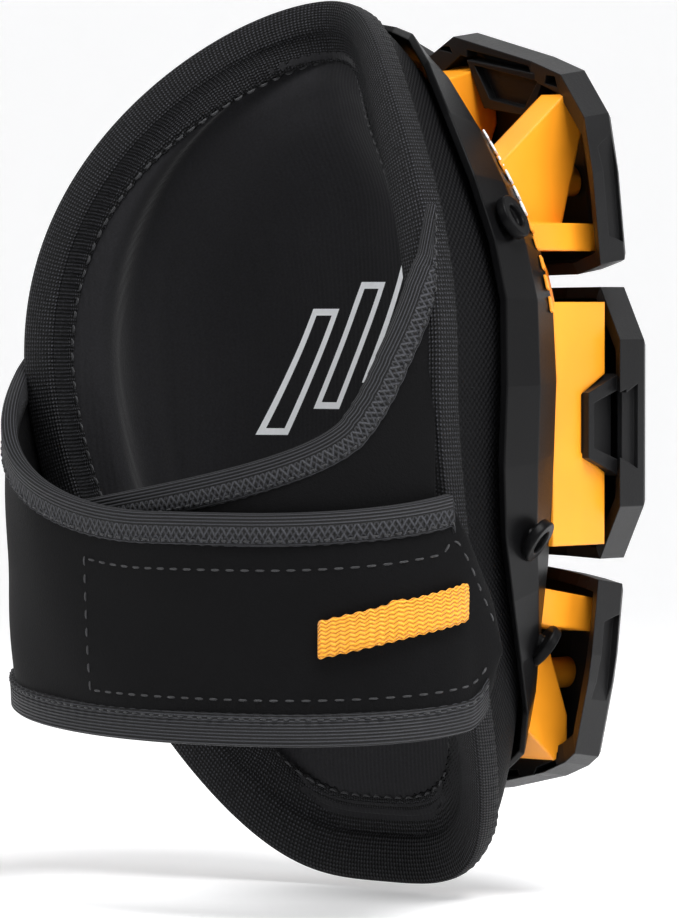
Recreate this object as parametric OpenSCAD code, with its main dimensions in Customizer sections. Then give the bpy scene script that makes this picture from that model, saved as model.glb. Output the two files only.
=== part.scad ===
// Knee pad with a padded cup, a rigid carrier frame, a ribbed front shell and six tread blocks.
// +Z runs up the leg, the treads face -Y and the knee goes into the cup from +Y.

/* [Cup] */
// Overall height of the padded cup
cup_height = 260; // [220:1:300]
// Half width of the cup at its widest
cup_half_width = 80; // [66:1:92]
// How far the sides of the cup reach back from the origin plane
cup_side_reach = 50; // [40:1:62]
// How far the front of the cup stands ahead of the origin plane
cup_front = 30; // [24:1:38]
// Thickness of the outer nylon cover
cover_thickness = 1.2; // [0.8:0.1:2]
// Thickness of the firm foam core
core_thickness = 8; // [5:0.5:12]
// Thickness of the soft foam and gel layer
gel_thickness = 4.5; // [3:0.5:7]
// Thickness of the lining fabric
lining_thickness = 1.4; // [1:0.1:2.5]
// Gap between neighbouring layers
layer_gap = 0.3; // [0.2:0.05:0.6]

/* [Rim] */
// Thickness of the binding tape round the rim
binding_thickness = 1.4; // [1:0.1:2.4]
// Width of each leg of the rim binding
binding_width = 8; // [6:0.5:12]

/* [Frame] */
// Wall thickness of the carrier frame
frame_wall = 2.6; // [2.2:0.1:4]
// Gap between the cup and the frame
frame_gap = 3; // [2.6:0.1:4]

/* [Shell] */
// Wall thickness of the front shell
shell_wall = 3; // [2.2:0.1:4]
// Thickness of the struts that carry the treads
strut_thickness = 8; // [5:0.5:11]

/* [Treads] */
// Distance from the origin plane to the front of the middle treads
tread_front = 68; // [62:1:78]
// Half width over the two columns of treads
tread_half_width = 75; // [68:1:84]
// Gap between the two columns of treads
tread_column_gap = 6; // [3:0.5:10]
// Depth of a tread block from its front to its back
tread_depth = 13; // [10:0.5:16]
// Thickness of the face of a tread block
tread_face = 4; // [3:0.5:6]

/* [Strap] */
// Width of the closing strap at the back of the leg
strap_width = 66; // [56:1:84]
// Height of the strap's lower edge above the bottom of the cup
strap_height = 47.5; // [32:1:52]
// Thickness of the strap fabric
strap_thickness = 3; // [2.2:0.1:4.5]
// Half width of the loop that the strap makes round the leg
strap_half_width = 85; // [84:1:96]
// How far back the strap passes behind the origin plane
strap_back = 92; // [88:1:106]
// Width of the elastic tape on the edges of the strap and the wing
edge_tape_width = 7.6; // [5:0.2:10]
// Thickness of the elastic tape outside the fabric
edge_tape_thickness = 0.9; // [0.6:0.1:1.5]

/* [Hardware] */
// Radius of the head of a shell rivet
rivet_head_radius = 6.6; // [5:0.2:8]
// Radius of the shank of a shell rivet
rivet_shank_radius = 2.4; // [1.8:0.1:3.4]
// Radius of the open centre of a shell rivet
rivet_hole_radius = 3.4; // [2.5:0.1:4.2]
// Radius of a tread screw's shank
screw_radius = 1.8; // [1.2:0.1:2.5]

/* [Pull tab] */
// Length of the pull tab
tab_length = 50; // [36:1:60]
// Width of the pull tab
tab_width = 10.6; // [8:0.2:16]
// Thickness of the pull tab
tab_thickness = 2; // [1.4:0.1:3]

/* [Hidden] */
$fn = 48;

fabric_black = [0.05, 0.05, 0.055];
plastic_black = [0.08, 0.08, 0.085];
shell_yellow = [0.98, 0.66, 0.12];

// ---- the cup, by angle round its rim and share of the way in from the rim ----
around = 48;
inward = 12;
bowl_power = 3;
crown_flat = 1;
shoulder = 8;
cup_centre_z = cup_height * 0.6;
step_angle = 360 / around;

// Rim seen from the back: wide above the middle, drawn in to a narrow foot.
function shoulder_at(t) = cos(t) > 0 ? shoulder * pow(abs(sin(2 * t)), 1.5) : 0;
function rim_x(t) = sign(sin(t)) * (cup_half_width
  * (cos(t) > 0 ? pow(abs(sin(t)), 1.1) : pow(abs(sin(t)), 0.58) * (1 + 0.1 * cos(t))) - shoulder_at(t));
function rim_z(t) = cup_centre_z + (cos(t) > 0
  ? (cup_height - cup_centre_z) * pow(cos(t), 0.82)
  : -cup_centre_z * pow(-cos(t), 0.9));
// Rim seen from the side: the sides reach back, the top and the foot come forward.
top_reach = 5;
foot_reach = -20;
function rim_y(t) = let (c = cos(t)) shoulder_at(t) + (c > 0
  ? top_reach + (cup_side_reach - top_reach) * (1 - pow(c, 1.6))
  : foot_reach + (cup_side_reach - foot_reach) * (1 - pow(-c, 1.55)));
// The bowl is full at the sides and the foot, and flatter towards the top.
function power_at(t) = bowl_power - crown_flat * pow(max(0, cos(t)), 1.3);
// A point on the cup's outer face (off = 0) or further in (off > 0).
function cup_point(t, s, off) =
  let (
    g = pow(max(0, cos(90 * s)), 2 / power_at(t)),
    h = pow(max(0, sin(90 * s)), 2 / power_at(t)),
    lean = 1 - off / cup_half_width,
    rise = 1 - 2 * off / cup_height
  )
  [
    rim_x(t) * g * lean,
    rim_y(t) + (off - cup_front - rim_y(t)) * h,
    cup_centre_z + (rim_z(t) - cup_centre_z) * g * rise
  ];

// A closed layer of the cup between two depths, from share s0 to share s1 of the way in.
module cup_layer(off0, off1, s0, s1) {
  rows = inward + 1;
  pts = concat(
    [for (j = [0 : inward - 1], i = [0 : around - 1])
      cup_point(i * step_angle, s0 + (s1 - s0) * pow(j / inward, 1.2), off0)],
    [for (j = [0 : inward - 1], i = [0 : around - 1])
      cup_point(i * step_angle, s0 + (s1 - s0) * pow(j / inward, 1.2), off1)],
    [cup_point(0, s1, off0), cup_point(0, s1, off1)]
  );
  n = around * inward;
  top = 2 * n;
  faces = concat(
    [for (j = [0 : inward - 2], i = [0 : around - 1], k = [0 : 1]) let (a = j * around + i,
      b = j * around + (i + 1) % around, c = a + around, d = b + around)
      k == 0 ? [a, c, b] : [b, c, d]],
    [for (j = [0 : inward - 2], i = [0 : around - 1], k = [0 : 1]) let (a = n + j * around + i,
      b = n + j * around + (i + 1) % around, c = a + around, d = b + around)
      k == 0 ? [a, b, c] : [b, d, c]],
    [for (i = [0 : around - 1], k = [0 : 1]) let (a = i, b = (i + 1) % around, c = n + a, d = n + b)
      k == 0 ? [a, b, c] : [b, d, c]],
    [for (i = [0 : around - 1]) let (a = (inward - 1) * around + i, b = (inward - 1) * around + (i + 1) % around)
      [a, top, b]],
    [for (i = [0 : around - 1]) let (a = n + (inward - 1) * around + i,
      b = n + (inward - 1) * around + (i + 1) % around)
      [a, b, top + 1]]
  );
  polyhedron(pts, faces);
}

// A closed strip swept along a closed or open path of cross-sections.
module sweep(rings, closed) {
  m = len(rings[0]);
  n = len(rings);
  last = closed ? n - 1 : n - 2;
  pts = [for (r = rings, p = r) p];
  sides = [for (j = [0 : last], i = [0 : m - 1], k = [0 : 1]) let (
    a = j * m + i, b = j * m + (i + 1) % m,
    c = ((j + 1) % n) * m + i, d = ((j + 1) % n) * m + (i + 1) % m)
    k == 0 ? [a, b, c] : [b, d, c]];
  caps = closed ? [] : [[for (i = [m - 1 : -1 : 0]) i], [for (i = [0 : m - 1]) (n - 1) * m + i]];
  polyhedron(pts, concat(sides, caps));
}

// depths of the layers, measured in from the outer face of the cup
core_in = cover_thickness + layer_gap;
core_out = core_in + core_thickness;
gel_in = core_out + layer_gap;
gel_out = gel_in + gel_thickness;
lining_in = gel_out + layer_gap;
lining_out = lining_in + lining_thickness;
pole = 0.985;

module outer_cover() {
  color(fabric_black) cup_layer(0, cover_thickness, 0.035, pole);
}

module foam_core() {
  color([0.2, 0.2, 0.22]) cup_layer(core_in, core_out, 0.035, pole);
}

module gel_pad() {
  color([0.3, 0.45, 0.6]) cup_layer(gel_in, gel_out, 0.06, pole);
}

module inner_lining() {
  color(fabric_black) cup_layer(lining_in, lining_out, 0.035, pole);
}

// The tape folds over the raw edges of all four layers.
// Share of the way in at which the surface is this far from the rim, front to back.
function share_at(t, width) = asin(min(1, pow(width / (rim_y(t) + cup_front), power_at(t) / 2))) / 90;

module rim_binding() {
  rings = [for (i = [0 : around - 1]) let (
    t = i * step_angle,
    rim_s = share_at(t, min(binding_width, (0.24 - 0.13 * max(0, cos(t))) * (rim_y(t) + cup_front))),
    o = cup_point(t, 0, -layer_gap),
    q = cup_point(t, 0, lining_out + layer_gap),
    back = binding_thickness + layer_gap,
    oi = cup_point(t, rim_s, -layer_gap),
    qi = cup_point(t, rim_s, lining_out + layer_gap),
    oo = cup_point(t, rim_s, -layer_gap - binding_thickness),
    qq = cup_point(t, rim_s, lining_out + layer_gap + binding_thickness),
    o0 = cup_point(t, 0, -layer_gap - binding_thickness * 0.9),
    q0 = cup_point(t, 0, lining_out + layer_gap + binding_thickness * 0.9)
    )
    [oo, o0, o0 * 0.75 + q0 * 0.25 + [0, back, 0], o0 * 0.25 + q0 * 0.75 + [0, back, 0], q0, qq,
      qi, q * 0.97 + o * 0.03, o * 0.97 + q * 0.03, oi]];
  color(fabric_black) sweep(rings, true);
}

// ---- the frame and the front shell: faceted rings set off from the cup ----
// A point off the cup's outer face, at angle t and share g of the rim's distance.
function skin_point(t, g, off) =
  let (
    reach = norm([rim_x(t), rim_z(t) - cup_centre_z]),
    depth = rim_y(t) + cup_front,
    h = pow(max(0, 1 - pow(g, power_at(t))), 1 / power_at(t)),
    across = pow(g, power_at(t) - 1) / reach,
    ahead = pow(h, power_at(t) - 1) / depth,
    size = norm([across, ahead]),
    ux = rim_x(t) / reach,
    uz = (rim_z(t) - cup_centre_z) / reach
  )
  [
    rim_x(t) * g + off * ux * across / size,
    rim_y(t) - depth * h - off * ahead / size,
    cup_centre_z + (rim_z(t) - cup_centre_z) * g + off * uz * across / size
  ];

// Each corner of the frame: angle from the top, then its share at the front and at the rear edge.
frame_corners = [
  [0, 0.80, 0.925], [14, 0.79, 0.925], [27, 0.785, 0.955], [40, 0.785, 0.975], [54, 0.79, 0.986],
  [66, 0.80, 0.988], [76, 0.80, 0.988], [84, 0.80, 0.988], [92, 0.80, 0.99], [99, 0.80, 0.992],
  [106, 0.80, 0.992], [113, 0.79, 0.988], [121, 0.78, 0.98], [130, 0.76, 0.96], [141, 0.74, 0.92],
  [158, 0.72, 0.86], [180, 0.71, 0.82]
];
corner_count = len(frame_corners);
frame_out = frame_gap + frame_wall;
// How far the crease between the frame's two facets stands out.
frame_crease = 0.6;

function round_trip(half) = concat(half, [for (i = [corner_count - 2 : -1 : 1]) [-half[i][0], half[i][1], half[i][2]]]);
function ring_at(column, shift, off) = round_trip(
  [for (c = frame_corners) skin_point(c[0], c[column] + shift, off)]);

// Share half way along the surface between two shares.
function depth_of(g, p) = pow(max(0, 1 - pow(g, p)), 1 / p);
function mid_share(g0, g1, p) = pow(1 - pow((depth_of(g0, p) + depth_of(g1, p)) / 2, p), 1 / p);
function mid_ring(off) = round_trip(
  [for (c = frame_corners) skin_point(c[0], mid_share(c[1], c[2], power_at(c[0])), off)]);

function link(list) = [for (i = [0 : len(list[0]) - 1]) [for (loop = list) loop[i]]];

module carrier_frame() {
  color(plastic_black)
    difference() {
      sweep(link([
        ring_at(2, 0, frame_out), mid_ring(frame_out + frame_crease), ring_at(1, 0, frame_out + 0.8),
        ring_at(1, 0, frame_gap), mid_ring(frame_gap), ring_at(2, 0, frame_gap)]), true);
      rivet_places() cylinder(h = 30, r = rivet_shank_radius + layer_gap, center = true);
      rivet_places() translate([0, 0, 0.4]) cylinder(h = 6, r = rivet_head_radius + 0.6);
      rivet_places() translate([0, 0, -frame_wall - 3]) cylinder(h = 3, r = rivet_head_radius);
    }
}

// Six rivets, three a side: angle round the cup and share of the way out.
rivet_spots = [[73, 0.968], [106.5, 0.963], [121, 0.925]];
module rivet_places() {
  for (side = [-1, 1], spot = rivet_spots)
    scale_side(side)
      let (
        low = skin_point(spot[0], spot[1], frame_gap),
        top = skin_point(spot[0], spot[1], frame_out),
        n = (top - low) / norm(top - low)
      )
      translate(top)
        rotate([0, 0, atan2(n[1], n[0])])
          rotate([0, 90 - asin(n[2]), 0])
            children();
}

module scale_side(side) {
  mirror([side < 0 ? 1 : 0, 0, 0]) children();
}

rivet_head = 3;
washer = 0.5;
rivet_tail = 1.3;
module shell_rivets() {
  color(plastic_black)
    rivet_places()
      difference() {
        union() {
          translate([0, 0, 0.5]) cylinder(h = rivet_head, r = rivet_head_radius);
          translate([0, 0, -frame_wall - rivet_tail])
            cylinder(h = frame_wall + rivet_tail + 1, r = rivet_shank_radius);
        }
        translate([0, 0, 1.5]) cylinder(h = rivet_head, r = rivet_hole_radius);
      }
}

module rivet_washers() {
  color([0.5, 0.5, 0.52])
    rivet_places()
      translate([0, 0, -frame_wall - washer - 0.1])
        difference() {
          cylinder(h = washer, r = rivet_head_radius - 3.1);
          translate([0, 0, -1]) cylinder(h = 3, r = rivet_shank_radius + 0.1);
        }
}

// ---- tread blocks ----
// Front outline of each block on the +X side, as half width and height of its corners.
tread_inner = tread_column_gap / 2;
side = tread_half_width;
middle_outline = [
  [tread_inner, 97], [side - 15, 96], [side, 112], [side, 161], [side - 15, 176.5], [tread_inner, 176]
];
upper_outline = [
  [tread_inner, 180], [side - 15, 183], [side, 187], [side - 3, 230], [side - 17, 242],
  [tread_inner + 11, 254], [tread_inner, 248]
];
lower_outline = [
  [tread_inner, 28], [tread_inner + 11, 24], [side - 25, 30], [side - 9, 36], [side - 3, 57],
  [side - 2, 87], [side - 15, 89], [tread_inner + 25, 93], [tread_inner, 92]
];
// Top view of the front of a middle block.
front_line = [
  [tread_inner, -tread_front], [side - 31, -tread_front + 2], [side - 13, -tread_front + 7],
  [side, -tread_front + 16]
];
outer_set = 8.5;
outer_tilt = 8;
tread_wall = 3.4;

module band(front, back) {
  polygon(concat(
    [for (p = front_line) p + [p[0] == side ? 20 : 0, front + (p[0] == side ? 14 : 0)]],
    [for (i = [len(front_line) - 1 : -1 : 0]) front_line[i] + [front_line[i][0] == side ? 20 : 0,
      back + (front_line[i][0] == side ? 14 : 0)]]));
}

// Tilts a block back about the edge next to the middle row.
module lean(row) {
  edge = row > 0 ? 180 : 92;
  translate([0, (row == 0 ? 0 : outer_set) - tread_front, edge])
    rotate([row * -outer_tilt, 0, 0])
      translate([0, tread_front, -edge])
        children();
}

module block_outline(outline, inset) {
  rotate([90, 0, 0])
    linear_extrude(120)
      offset(delta = -inset)
        polygon(outline);
}

module tread_block(outline, row) {
  lean(row)
    difference() {
      intersection() {
        block_outline(outline, 0);
        linear_extrude(300) band(0, tread_depth);
      }
      intersection() {
        block_outline(outline, tread_wall);
        linear_extrude(300) band(tread_face, tread_depth + 30);
      }
      side_recess(row);
    }
}

// Shallow pockets in the outer side wall of a block.
recess_depth = 1.6;
module side_recess(row) {
  low = row == 0 ? 123 : row > 0 ? 192 : 45;
  high = row == 0 ? 148 : row > 0 ? 224 : 78;
  translate([side - recess_depth - (row == 0 ? 0 : 2.4), 0, 0])
    rotate([90, 0, 90])
      linear_extrude(10)
        polygon([
          [-tread_front + 19, low], [-tread_front + 26, low + 3],
          [-tread_front + 26, high - 3], [-tread_front + 19, high]
        ]);
}

// Posts on the back of a block's face that take the tread screws.
screw_spots = [[24, 212], [50, 208], [24, 136], [50, 136], [24, 62], [48, 62]];
post_radius = 4.6;
post_back = -52;
module tread_posts(row) {
  first = row > 0 ? 0 : row == 0 ? 2 : 4;
  for (k = [first, first + 1])
    translate([screw_spots[k][0], row == 0 ? post_back - 3.6 : post_back, screw_spots[k][1]])
      rotate([90, 0, 0])
        cylinder(h = row == 0 ? 8 : 5, r = post_radius);
}

module screw_holes(radius) {
  for (side = [-1, 1], spot = screw_spots)
    translate([side * spot[0], 0, spot[1]])
      rotate([90, 0, 0])
        cylinder(h = 58, r = radius);
}

module tread(outline, row) {
  color(plastic_black)
    difference() {
      union() {
        tread_block(outline, row);
        tread_posts(row);
      }
      screw_holes(screw_radius + 0.05);
    }
}

module tread_upper_right() {
  tread(upper_outline, 1);
}

module tread_upper_left() {
  mirror([1, 0, 0]) tread(upper_outline, 1);
}

module tread_middle_right() {
  tread(middle_outline, 0);
}

module tread_middle_left() {
  mirror([1, 0, 0]) tread(middle_outline, 0);
}

module tread_lower_right() {
  tread(lower_outline, -1);
}

module tread_lower_left() {
  mirror([1, 0, 0]) tread(lower_outline, -1);
}

// ---- front shell ----
shell_front = -38;
// Everything on and behind the shell's inner face, the frame included.
module behind_shell() {
  loops = [
    [for (p = ring_at(1, 0, frame_out)) [p[0] * 1.4, 60, cup_centre_z + (p[2] - cup_centre_z) * 1.4]],
    ring_at(2, 0, frame_out + layer_gap), mid_ring(frame_out + frame_crease + layer_gap),
    ring_at(1, 0, frame_out + 0.8 + layer_gap), ring_at(1, -0.012, frame_gap),
    ring_at(1, -0.10, frame_gap + 2),
    [for (p = ring_at(1, -0.32, frame_gap + 2)) [p[0], shell_front + shell_wall, p[2]]]
  ];
  dome(loops);
}

module dome(loops) {
  n = len(loops[0]);
  last = len(loops) - 1;
  pts = [for (r = loops, p = r) p];
  faces = concat(
    [for (j = [0 : last - 1], i = [0 : n - 1], k = [0 : 1]) let (a = j * n + i, b = j * n + (i + 1) % n,
      c = a + n, d = b + n) k == 0 ? [a, b, c] : [b, d, c]],
    [[for (i = [n - 1 : -1 : 0]) i]], [[for (i = [0 : n - 1]) last * n + i]]);
  polyhedron(pts, faces);
}

module shell_base() {
  dome([
    [for (p = ring_at(1, -0.012, frame_out + 1.2)) p + [0, 14, 0]],
    ring_at(1, -0.10, frame_out + 4.5),
    [for (p = ring_at(1, -0.30, frame_out + 4)) [p[0], shell_front, p[2]]]
  ]);
}

// Raised saddle between the shell and a middle tread, hollow from behind.
saddle_front = tread_front - tread_face - 9;
saddle_low = 101;
saddle_high = 172;
module saddle(grow) {
  difference() {
    translate([0, 0, saddle_low - grow])
      linear_extrude(saddle_high - saddle_low + 2 * grow)
        polygon([
          [tread_inner + 5 - grow, -shell_wall - 32], [tread_inner + 5 - grow, -saddle_front - grow],
          [side - 31 + grow, -saddle_front + 2 - grow], [side - 14 + grow, -saddle_front + 8 - grow],
          [side - 5 + grow, -saddle_front + 17 - grow], [side - 5 + grow, -14], [side - 15, -14],
          [side - 24, -26]
        ]);
    side_notch(grow);
  }
}

module side_notch(grow) {
  translate([side - 20 + grow, 0, 0])
    rotate([90, 0, 90])
      linear_extrude(30)
        polygon([
          [-70, 151 - grow], [-38, 151 - grow], [-27 - grow, 145 - grow], [-27 - grow, 128 + grow],
          [-38, 122 + grow], [-70, 122 + grow]
        ]);
}

// Ribs that carry the upper and lower treads, as side views with their place across.
ribs = [
  [6, 21, [[0, 206], [8, 218], [0, 232], [-44, 243], [-49, 240], [-49, 228], [-38, 206]]],
  [50, 59, [[8, 190], [6, 206], [-33, 233], [-42, 226], [-36, 208], [-30, 190]]],
  [40, 67, [[8, 187], [8, 195], [-40, 195], [-40, 187]]],
  [40, 64, [[-8, 79], [-8, 90], [-40, 85], [-40, 75]]],
  [26, 56, [[-12, 52], [-12, 74], [-28, 74], [-38, 50], [-38, 40], [-32, 37]]],
  [8, 26, [[-14, 46], [-14, 66], [-47, 52], [-47, 40]]]
];
module rib(r) {
  translate([r[0], 0, 0])
    rotate([90, 0, 90])
      linear_extrude(r[1] - r[0])
        polygon(r[2]);
}

post_root_upper = 6;
post_root_lower = -20;
module shell_posts() {
  for (spot = [screw_spots[0], screw_spots[1], screw_spots[4], screw_spots[5]])
    let (root = spot[1] > cup_centre_z ? post_root_upper : post_root_lower)
      translate([spot[0], root, spot[1]])
        rotate([90, 0, 0])
          cylinder(h = root - post_back - layer_gap, r = post_radius);
}

module tread_room(outline, row) {
  lean(row)
    difference() {
      intersection() {
        block_outline(outline, -layer_gap);
        linear_extrude(300) band(-9, tread_depth + layer_gap);
      }
      intersection() {
        block_outline(outline, tread_wall + layer_gap);
        linear_extrude(300) band(tread_face + layer_gap, tread_depth + 30);
      }
    }
  first = row > 0 ? 0 : row == 0 ? 2 : 4;
  for (k = [first, first + 1])
    translate([screw_spots[k][0], row == 0 ? post_back - 3.4 : post_back + layer_gap, screw_spots[k][1]])
      rotate([90, 0, 0])
        cylinder(h = 12, r = post_radius + layer_gap);
}

function screw_seat(k) = (k == 2 || k == 3)
  ? -saddle_front + shell_wall + (k == 3 ? 3 : 0.6) : shell_front + shell_wall + 1;
module head_room() {
  for (k = [0 : len(screw_spots) - 1])
    translate([screw_spots[k][0], screw_seat(k), screw_spots[k][1]])
      rotate([-90, 0, 0])
        cylinder(h = 30, r = screw_radius * 2 + layer_gap);
}

module front_shell() {
  color(shell_yellow)
    difference() {
      union() {
        shell_base();
        for (s = [-1, 1])
          scale_side(s) {
            saddle(0);
            for (r = ribs)
              rib(r);
            shell_posts();
          }
      }
      behind_shell();
      for (s = [-1, 1])
        scale_side(s) {
          saddle(-shell_wall);
          tread_room(upper_outline, 1);
          tread_room(middle_outline, 0);
          tread_room(lower_outline, -1);
          head_room();
        }
      screw_holes(screw_radius + layer_gap);
    }
}

module tread_screws() {
  color([0.35, 0.35, 0.37])
    for (side = [-1, 1], k = [0 : len(screw_spots) - 1])
      let (seat = screw_seat(k))
      translate([side * screw_spots[k][0], seat, screw_spots[k][1]])
        rotate([90, 0, 0])
          union() {
            translate([0, 0, -1.95]) cylinder(h = 1.9, r = screw_radius * 2);
            translate([0, 0, -0.5]) cylinder(h = seat + 55.5, r = screw_radius);
          }
}

// ---- the strap and the wing that close round the leg ----
loop_centre = 42;
strap_rows = 40;
strap_start = 0.12;
// Plan of the loop: u runs from the far side (0) round the back to the near side (1).
function loop_angle(u) = (u - 0.06) / 0.84 * 180;
function loop_xy(u, a, b, lead) = let (th = loop_angle(u))
  th < 0 ? [a, loop_centre + th / 180 * 0.84 / 0.06 * lead]
  : th > 180 ? [-a, loop_centre - (u - 0.90) / 0.10 * 14]
  : [a * cos(th), loop_centre + b * sin(th)];
// Lower and upper edges of the strap along the loop.
function strap_low(u) = strap_height + 15 * pow(abs(u - 0.58) / 0.58, 2.2);
function strap_high(u) = strap_height + strap_width - 1.5 + (u < 0.5 ? 60 * pow((0.5 - u) / 0.5, 1.8) : 0)
  + (u > 0.6 ? 12.5 * pow((u - 0.6) / 0.4, 2) : 0);
// The near end is cut away at a slant above and rounded below.
end_start = 0.862;
function end_high(u) = (u > end_start ? 40 * pow((u - end_start) / (1 - end_start), 0.85) : 0)
  + (u > 0.95 ? 8 * pow((u - 0.95) / 0.05, 4) : 0);
function end_low(u) = u > 0.88 ? 16 * pow((u - 0.88) / 0.12, 3) : 0;
function strap_inset(w, u) = 4 * (1 - w) * max(0, 1 - u * 1.25);

function strap_point(u, z, w, off) = let (
    d = off - strap_inset(w, u),
    p = loop_xy(u, strap_half_width + d, strap_back - loop_centre + d, 14)
  ) [p[0], p[1], z];

function strap_z(u, w) = let (lo = strap_low(u) + end_low(u), hi = strap_high(u) - end_high(u))
  lo + (hi - lo) * w;

function share_up(u, z) = (z - strap_z(u, 0)) / (strap_z(u, 1) - strap_z(u, 0));

// A strip of the strap between two depths and two heights (w shares plus mm).
module strap_strip(u0, u1, w0, w1, grow0, grow1, off0, off1, rows) {
  rings = [for (j = [0 : rows]) let (u = u0 + (u1 - u0) * j / rows, z0 = strap_z(u, w0) + grow0,
    z1 = strap_z(u, w1) + grow1)
    [strap_point(u, z0, share_up(u, z0), off1), strap_point(u, z1, share_up(u, z1), off1),
      strap_point(u, z1, share_up(u, z1), off0), strap_point(u, z0, share_up(u, z0), off0)]];
  sweep(rings, false);
}

module strap() {
  color(fabric_black) strap_strip(strap_start, 1, 0, 1, 0.6, -0.6, -strap_thickness, 0, strap_rows);
}

// Elastic tapes lie on the outer face along both edges.
module strap_top_tape() {
  color(fabric_black)
    strap_strip(strap_start, end_start, 1, 1, -edge_tape_width, 0, 0.15, edge_tape_thickness, strap_rows);
}

module strap_bottom_tape() {
  color(fabric_black)
    strap_strip(strap_start, 0.95, 0, 0, 0, edge_tape_width, 0.15, edge_tape_thickness, strap_rows);
}

module strap_hook_patch() {
  color([0.12, 0.12, 0.12])
    strap_strip(0.62, 0.92, 0.15, 0.85, 0, 0, -strap_thickness - 0.8, -strap_thickness - 0.1, 16);
}

// The pull tab is a folded webbing on the outside of the strap.
tab_middle = 0.795;
tab_height = 81;
tab_slope = 10;
module pull_tab() {
  color(shell_yellow) {
    loop_length = 250;
    half = tab_length / loop_length / 2;
    rings = [for (j = [0 : 12]) let (u = tab_middle - half + 2 * half * j / 12,
      z = tab_height + tab_slope * (j / 12 - 0.5), rise = 1.4 * sin(180 * j / 12))
      [strap_point(u, z - tab_width / 2, 1, 0.4 + rise), strap_point(u, z + tab_width / 2, 1, 0.4 + rise),
        strap_point(u, z + tab_width / 2, 1, 0.4 + rise + tab_thickness),
        strap_point(u, z - tab_width / 2, 1, 0.4 + rise + tab_thickness)]];
    sweep(rings, false);
  }
}

// The wing lies inside the strap, rooted on the near side.
wing_thickness = 2.4;
wing_set = strap_half_width - 79.8;
function wing_high(v) = v < 0.2 ? 190 - 42 * pow(v / 0.2, 0.8) : 148 - 34 * pow((v - 0.2) / 0.8, 0.45);
function wing_low(v) = 62 + 6 * pow(v, 2);
function wing_point(v, z, off) = let (
    th = 180 - 14 - v * 96,
    a = strap_half_width - wing_set + off,
    b = strap_back - loop_centre - wing_set + off
  ) [a * cos(th), loop_centre + b * sin(th), z];

module wing_strip(v0, v1, low0, off0, off1, rows) {
  rings = [for (j = [0 : rows]) let (v = v0 + (v1 - v0) * j / rows, z1 = wing_high(v) - 0.6,
    z0 = low0 > 0 ? z1 - low0 : wing_low(v))
    [wing_point(v, z0, off1), wing_point(v, z1, off1), wing_point(v, z1, off0), wing_point(v, z0, off0)]];
  sweep(rings, false);
}

module wing() {
  color(fabric_black) wing_strip(0, 1, 0, -wing_thickness, 0, 24);
}

module wing_tape() {
  color(fabric_black) wing_strip(0, 1, edge_tape_width, 0.15, edge_tape_thickness, 24);
}

module wing_loop_patch() {
  color([0.12, 0.12, 0.12])
    sweep([for (j = [0 : 12]) let (v = 0.35 + 0.6 * j / 12)
      [wing_point(v, 74, 0.7), wing_point(v, 100, 0.7), wing_point(v, 100, 0.15), wing_point(v, 74, 0.15)]], false);
}

outer_cover();
foam_core();
gel_pad();
inner_lining();
rim_binding();
carrier_frame();
front_shell();
shell_rivets();
rivet_washers();
tread_screws();
tread_upper_left();
tread_upper_right();
tread_middle_left();
tread_middle_right();
tread_lower_left();
tread_lower_right();
strap();
strap_top_tape();
strap_bottom_tape();
strap_hook_patch();
pull_tab();
wing();
wing_tape();
wing_loop_patch();
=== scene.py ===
import bpy
import bmesh
import numpy as np
from bpy.props import FloatProperty, PointerProperty, StringProperty
from mathutils import Matrix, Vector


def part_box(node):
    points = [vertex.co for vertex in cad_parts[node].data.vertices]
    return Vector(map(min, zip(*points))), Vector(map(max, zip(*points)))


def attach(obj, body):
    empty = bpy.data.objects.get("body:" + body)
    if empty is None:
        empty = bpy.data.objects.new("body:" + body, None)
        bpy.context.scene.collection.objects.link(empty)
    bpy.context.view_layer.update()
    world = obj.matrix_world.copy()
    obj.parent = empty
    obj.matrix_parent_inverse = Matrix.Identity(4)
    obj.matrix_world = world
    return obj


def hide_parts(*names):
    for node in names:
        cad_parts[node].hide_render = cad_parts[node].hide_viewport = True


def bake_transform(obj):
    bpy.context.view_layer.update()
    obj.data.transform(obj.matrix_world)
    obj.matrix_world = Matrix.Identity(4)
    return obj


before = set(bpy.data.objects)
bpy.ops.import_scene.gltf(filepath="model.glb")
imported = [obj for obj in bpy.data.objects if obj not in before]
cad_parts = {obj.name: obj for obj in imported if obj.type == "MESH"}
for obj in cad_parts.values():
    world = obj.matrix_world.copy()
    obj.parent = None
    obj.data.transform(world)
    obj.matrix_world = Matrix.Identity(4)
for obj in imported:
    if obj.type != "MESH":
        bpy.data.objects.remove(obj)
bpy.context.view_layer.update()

bl_info = {
    "name": "Knee Pad Builder",
    "version": (1, 0, 0),
    "blender": (4, 5, 0),
    "location": "View3D > Sidebar > Knee Pad",
    "description": "Builds a strapped knee pad with a padded cup, ribbed shell and rubber treads",
    "category": "Object",
}

MM = 0.001
COVER_LO, COVER_HI = (np.array(c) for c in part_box("outer_cover"))
RIM_HI = np.array(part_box("rim_binding")[1])
STRAP_LO = np.array(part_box("strap")[0])
TREAD_LO = np.array(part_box("tread_middle_right")[0])


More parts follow.
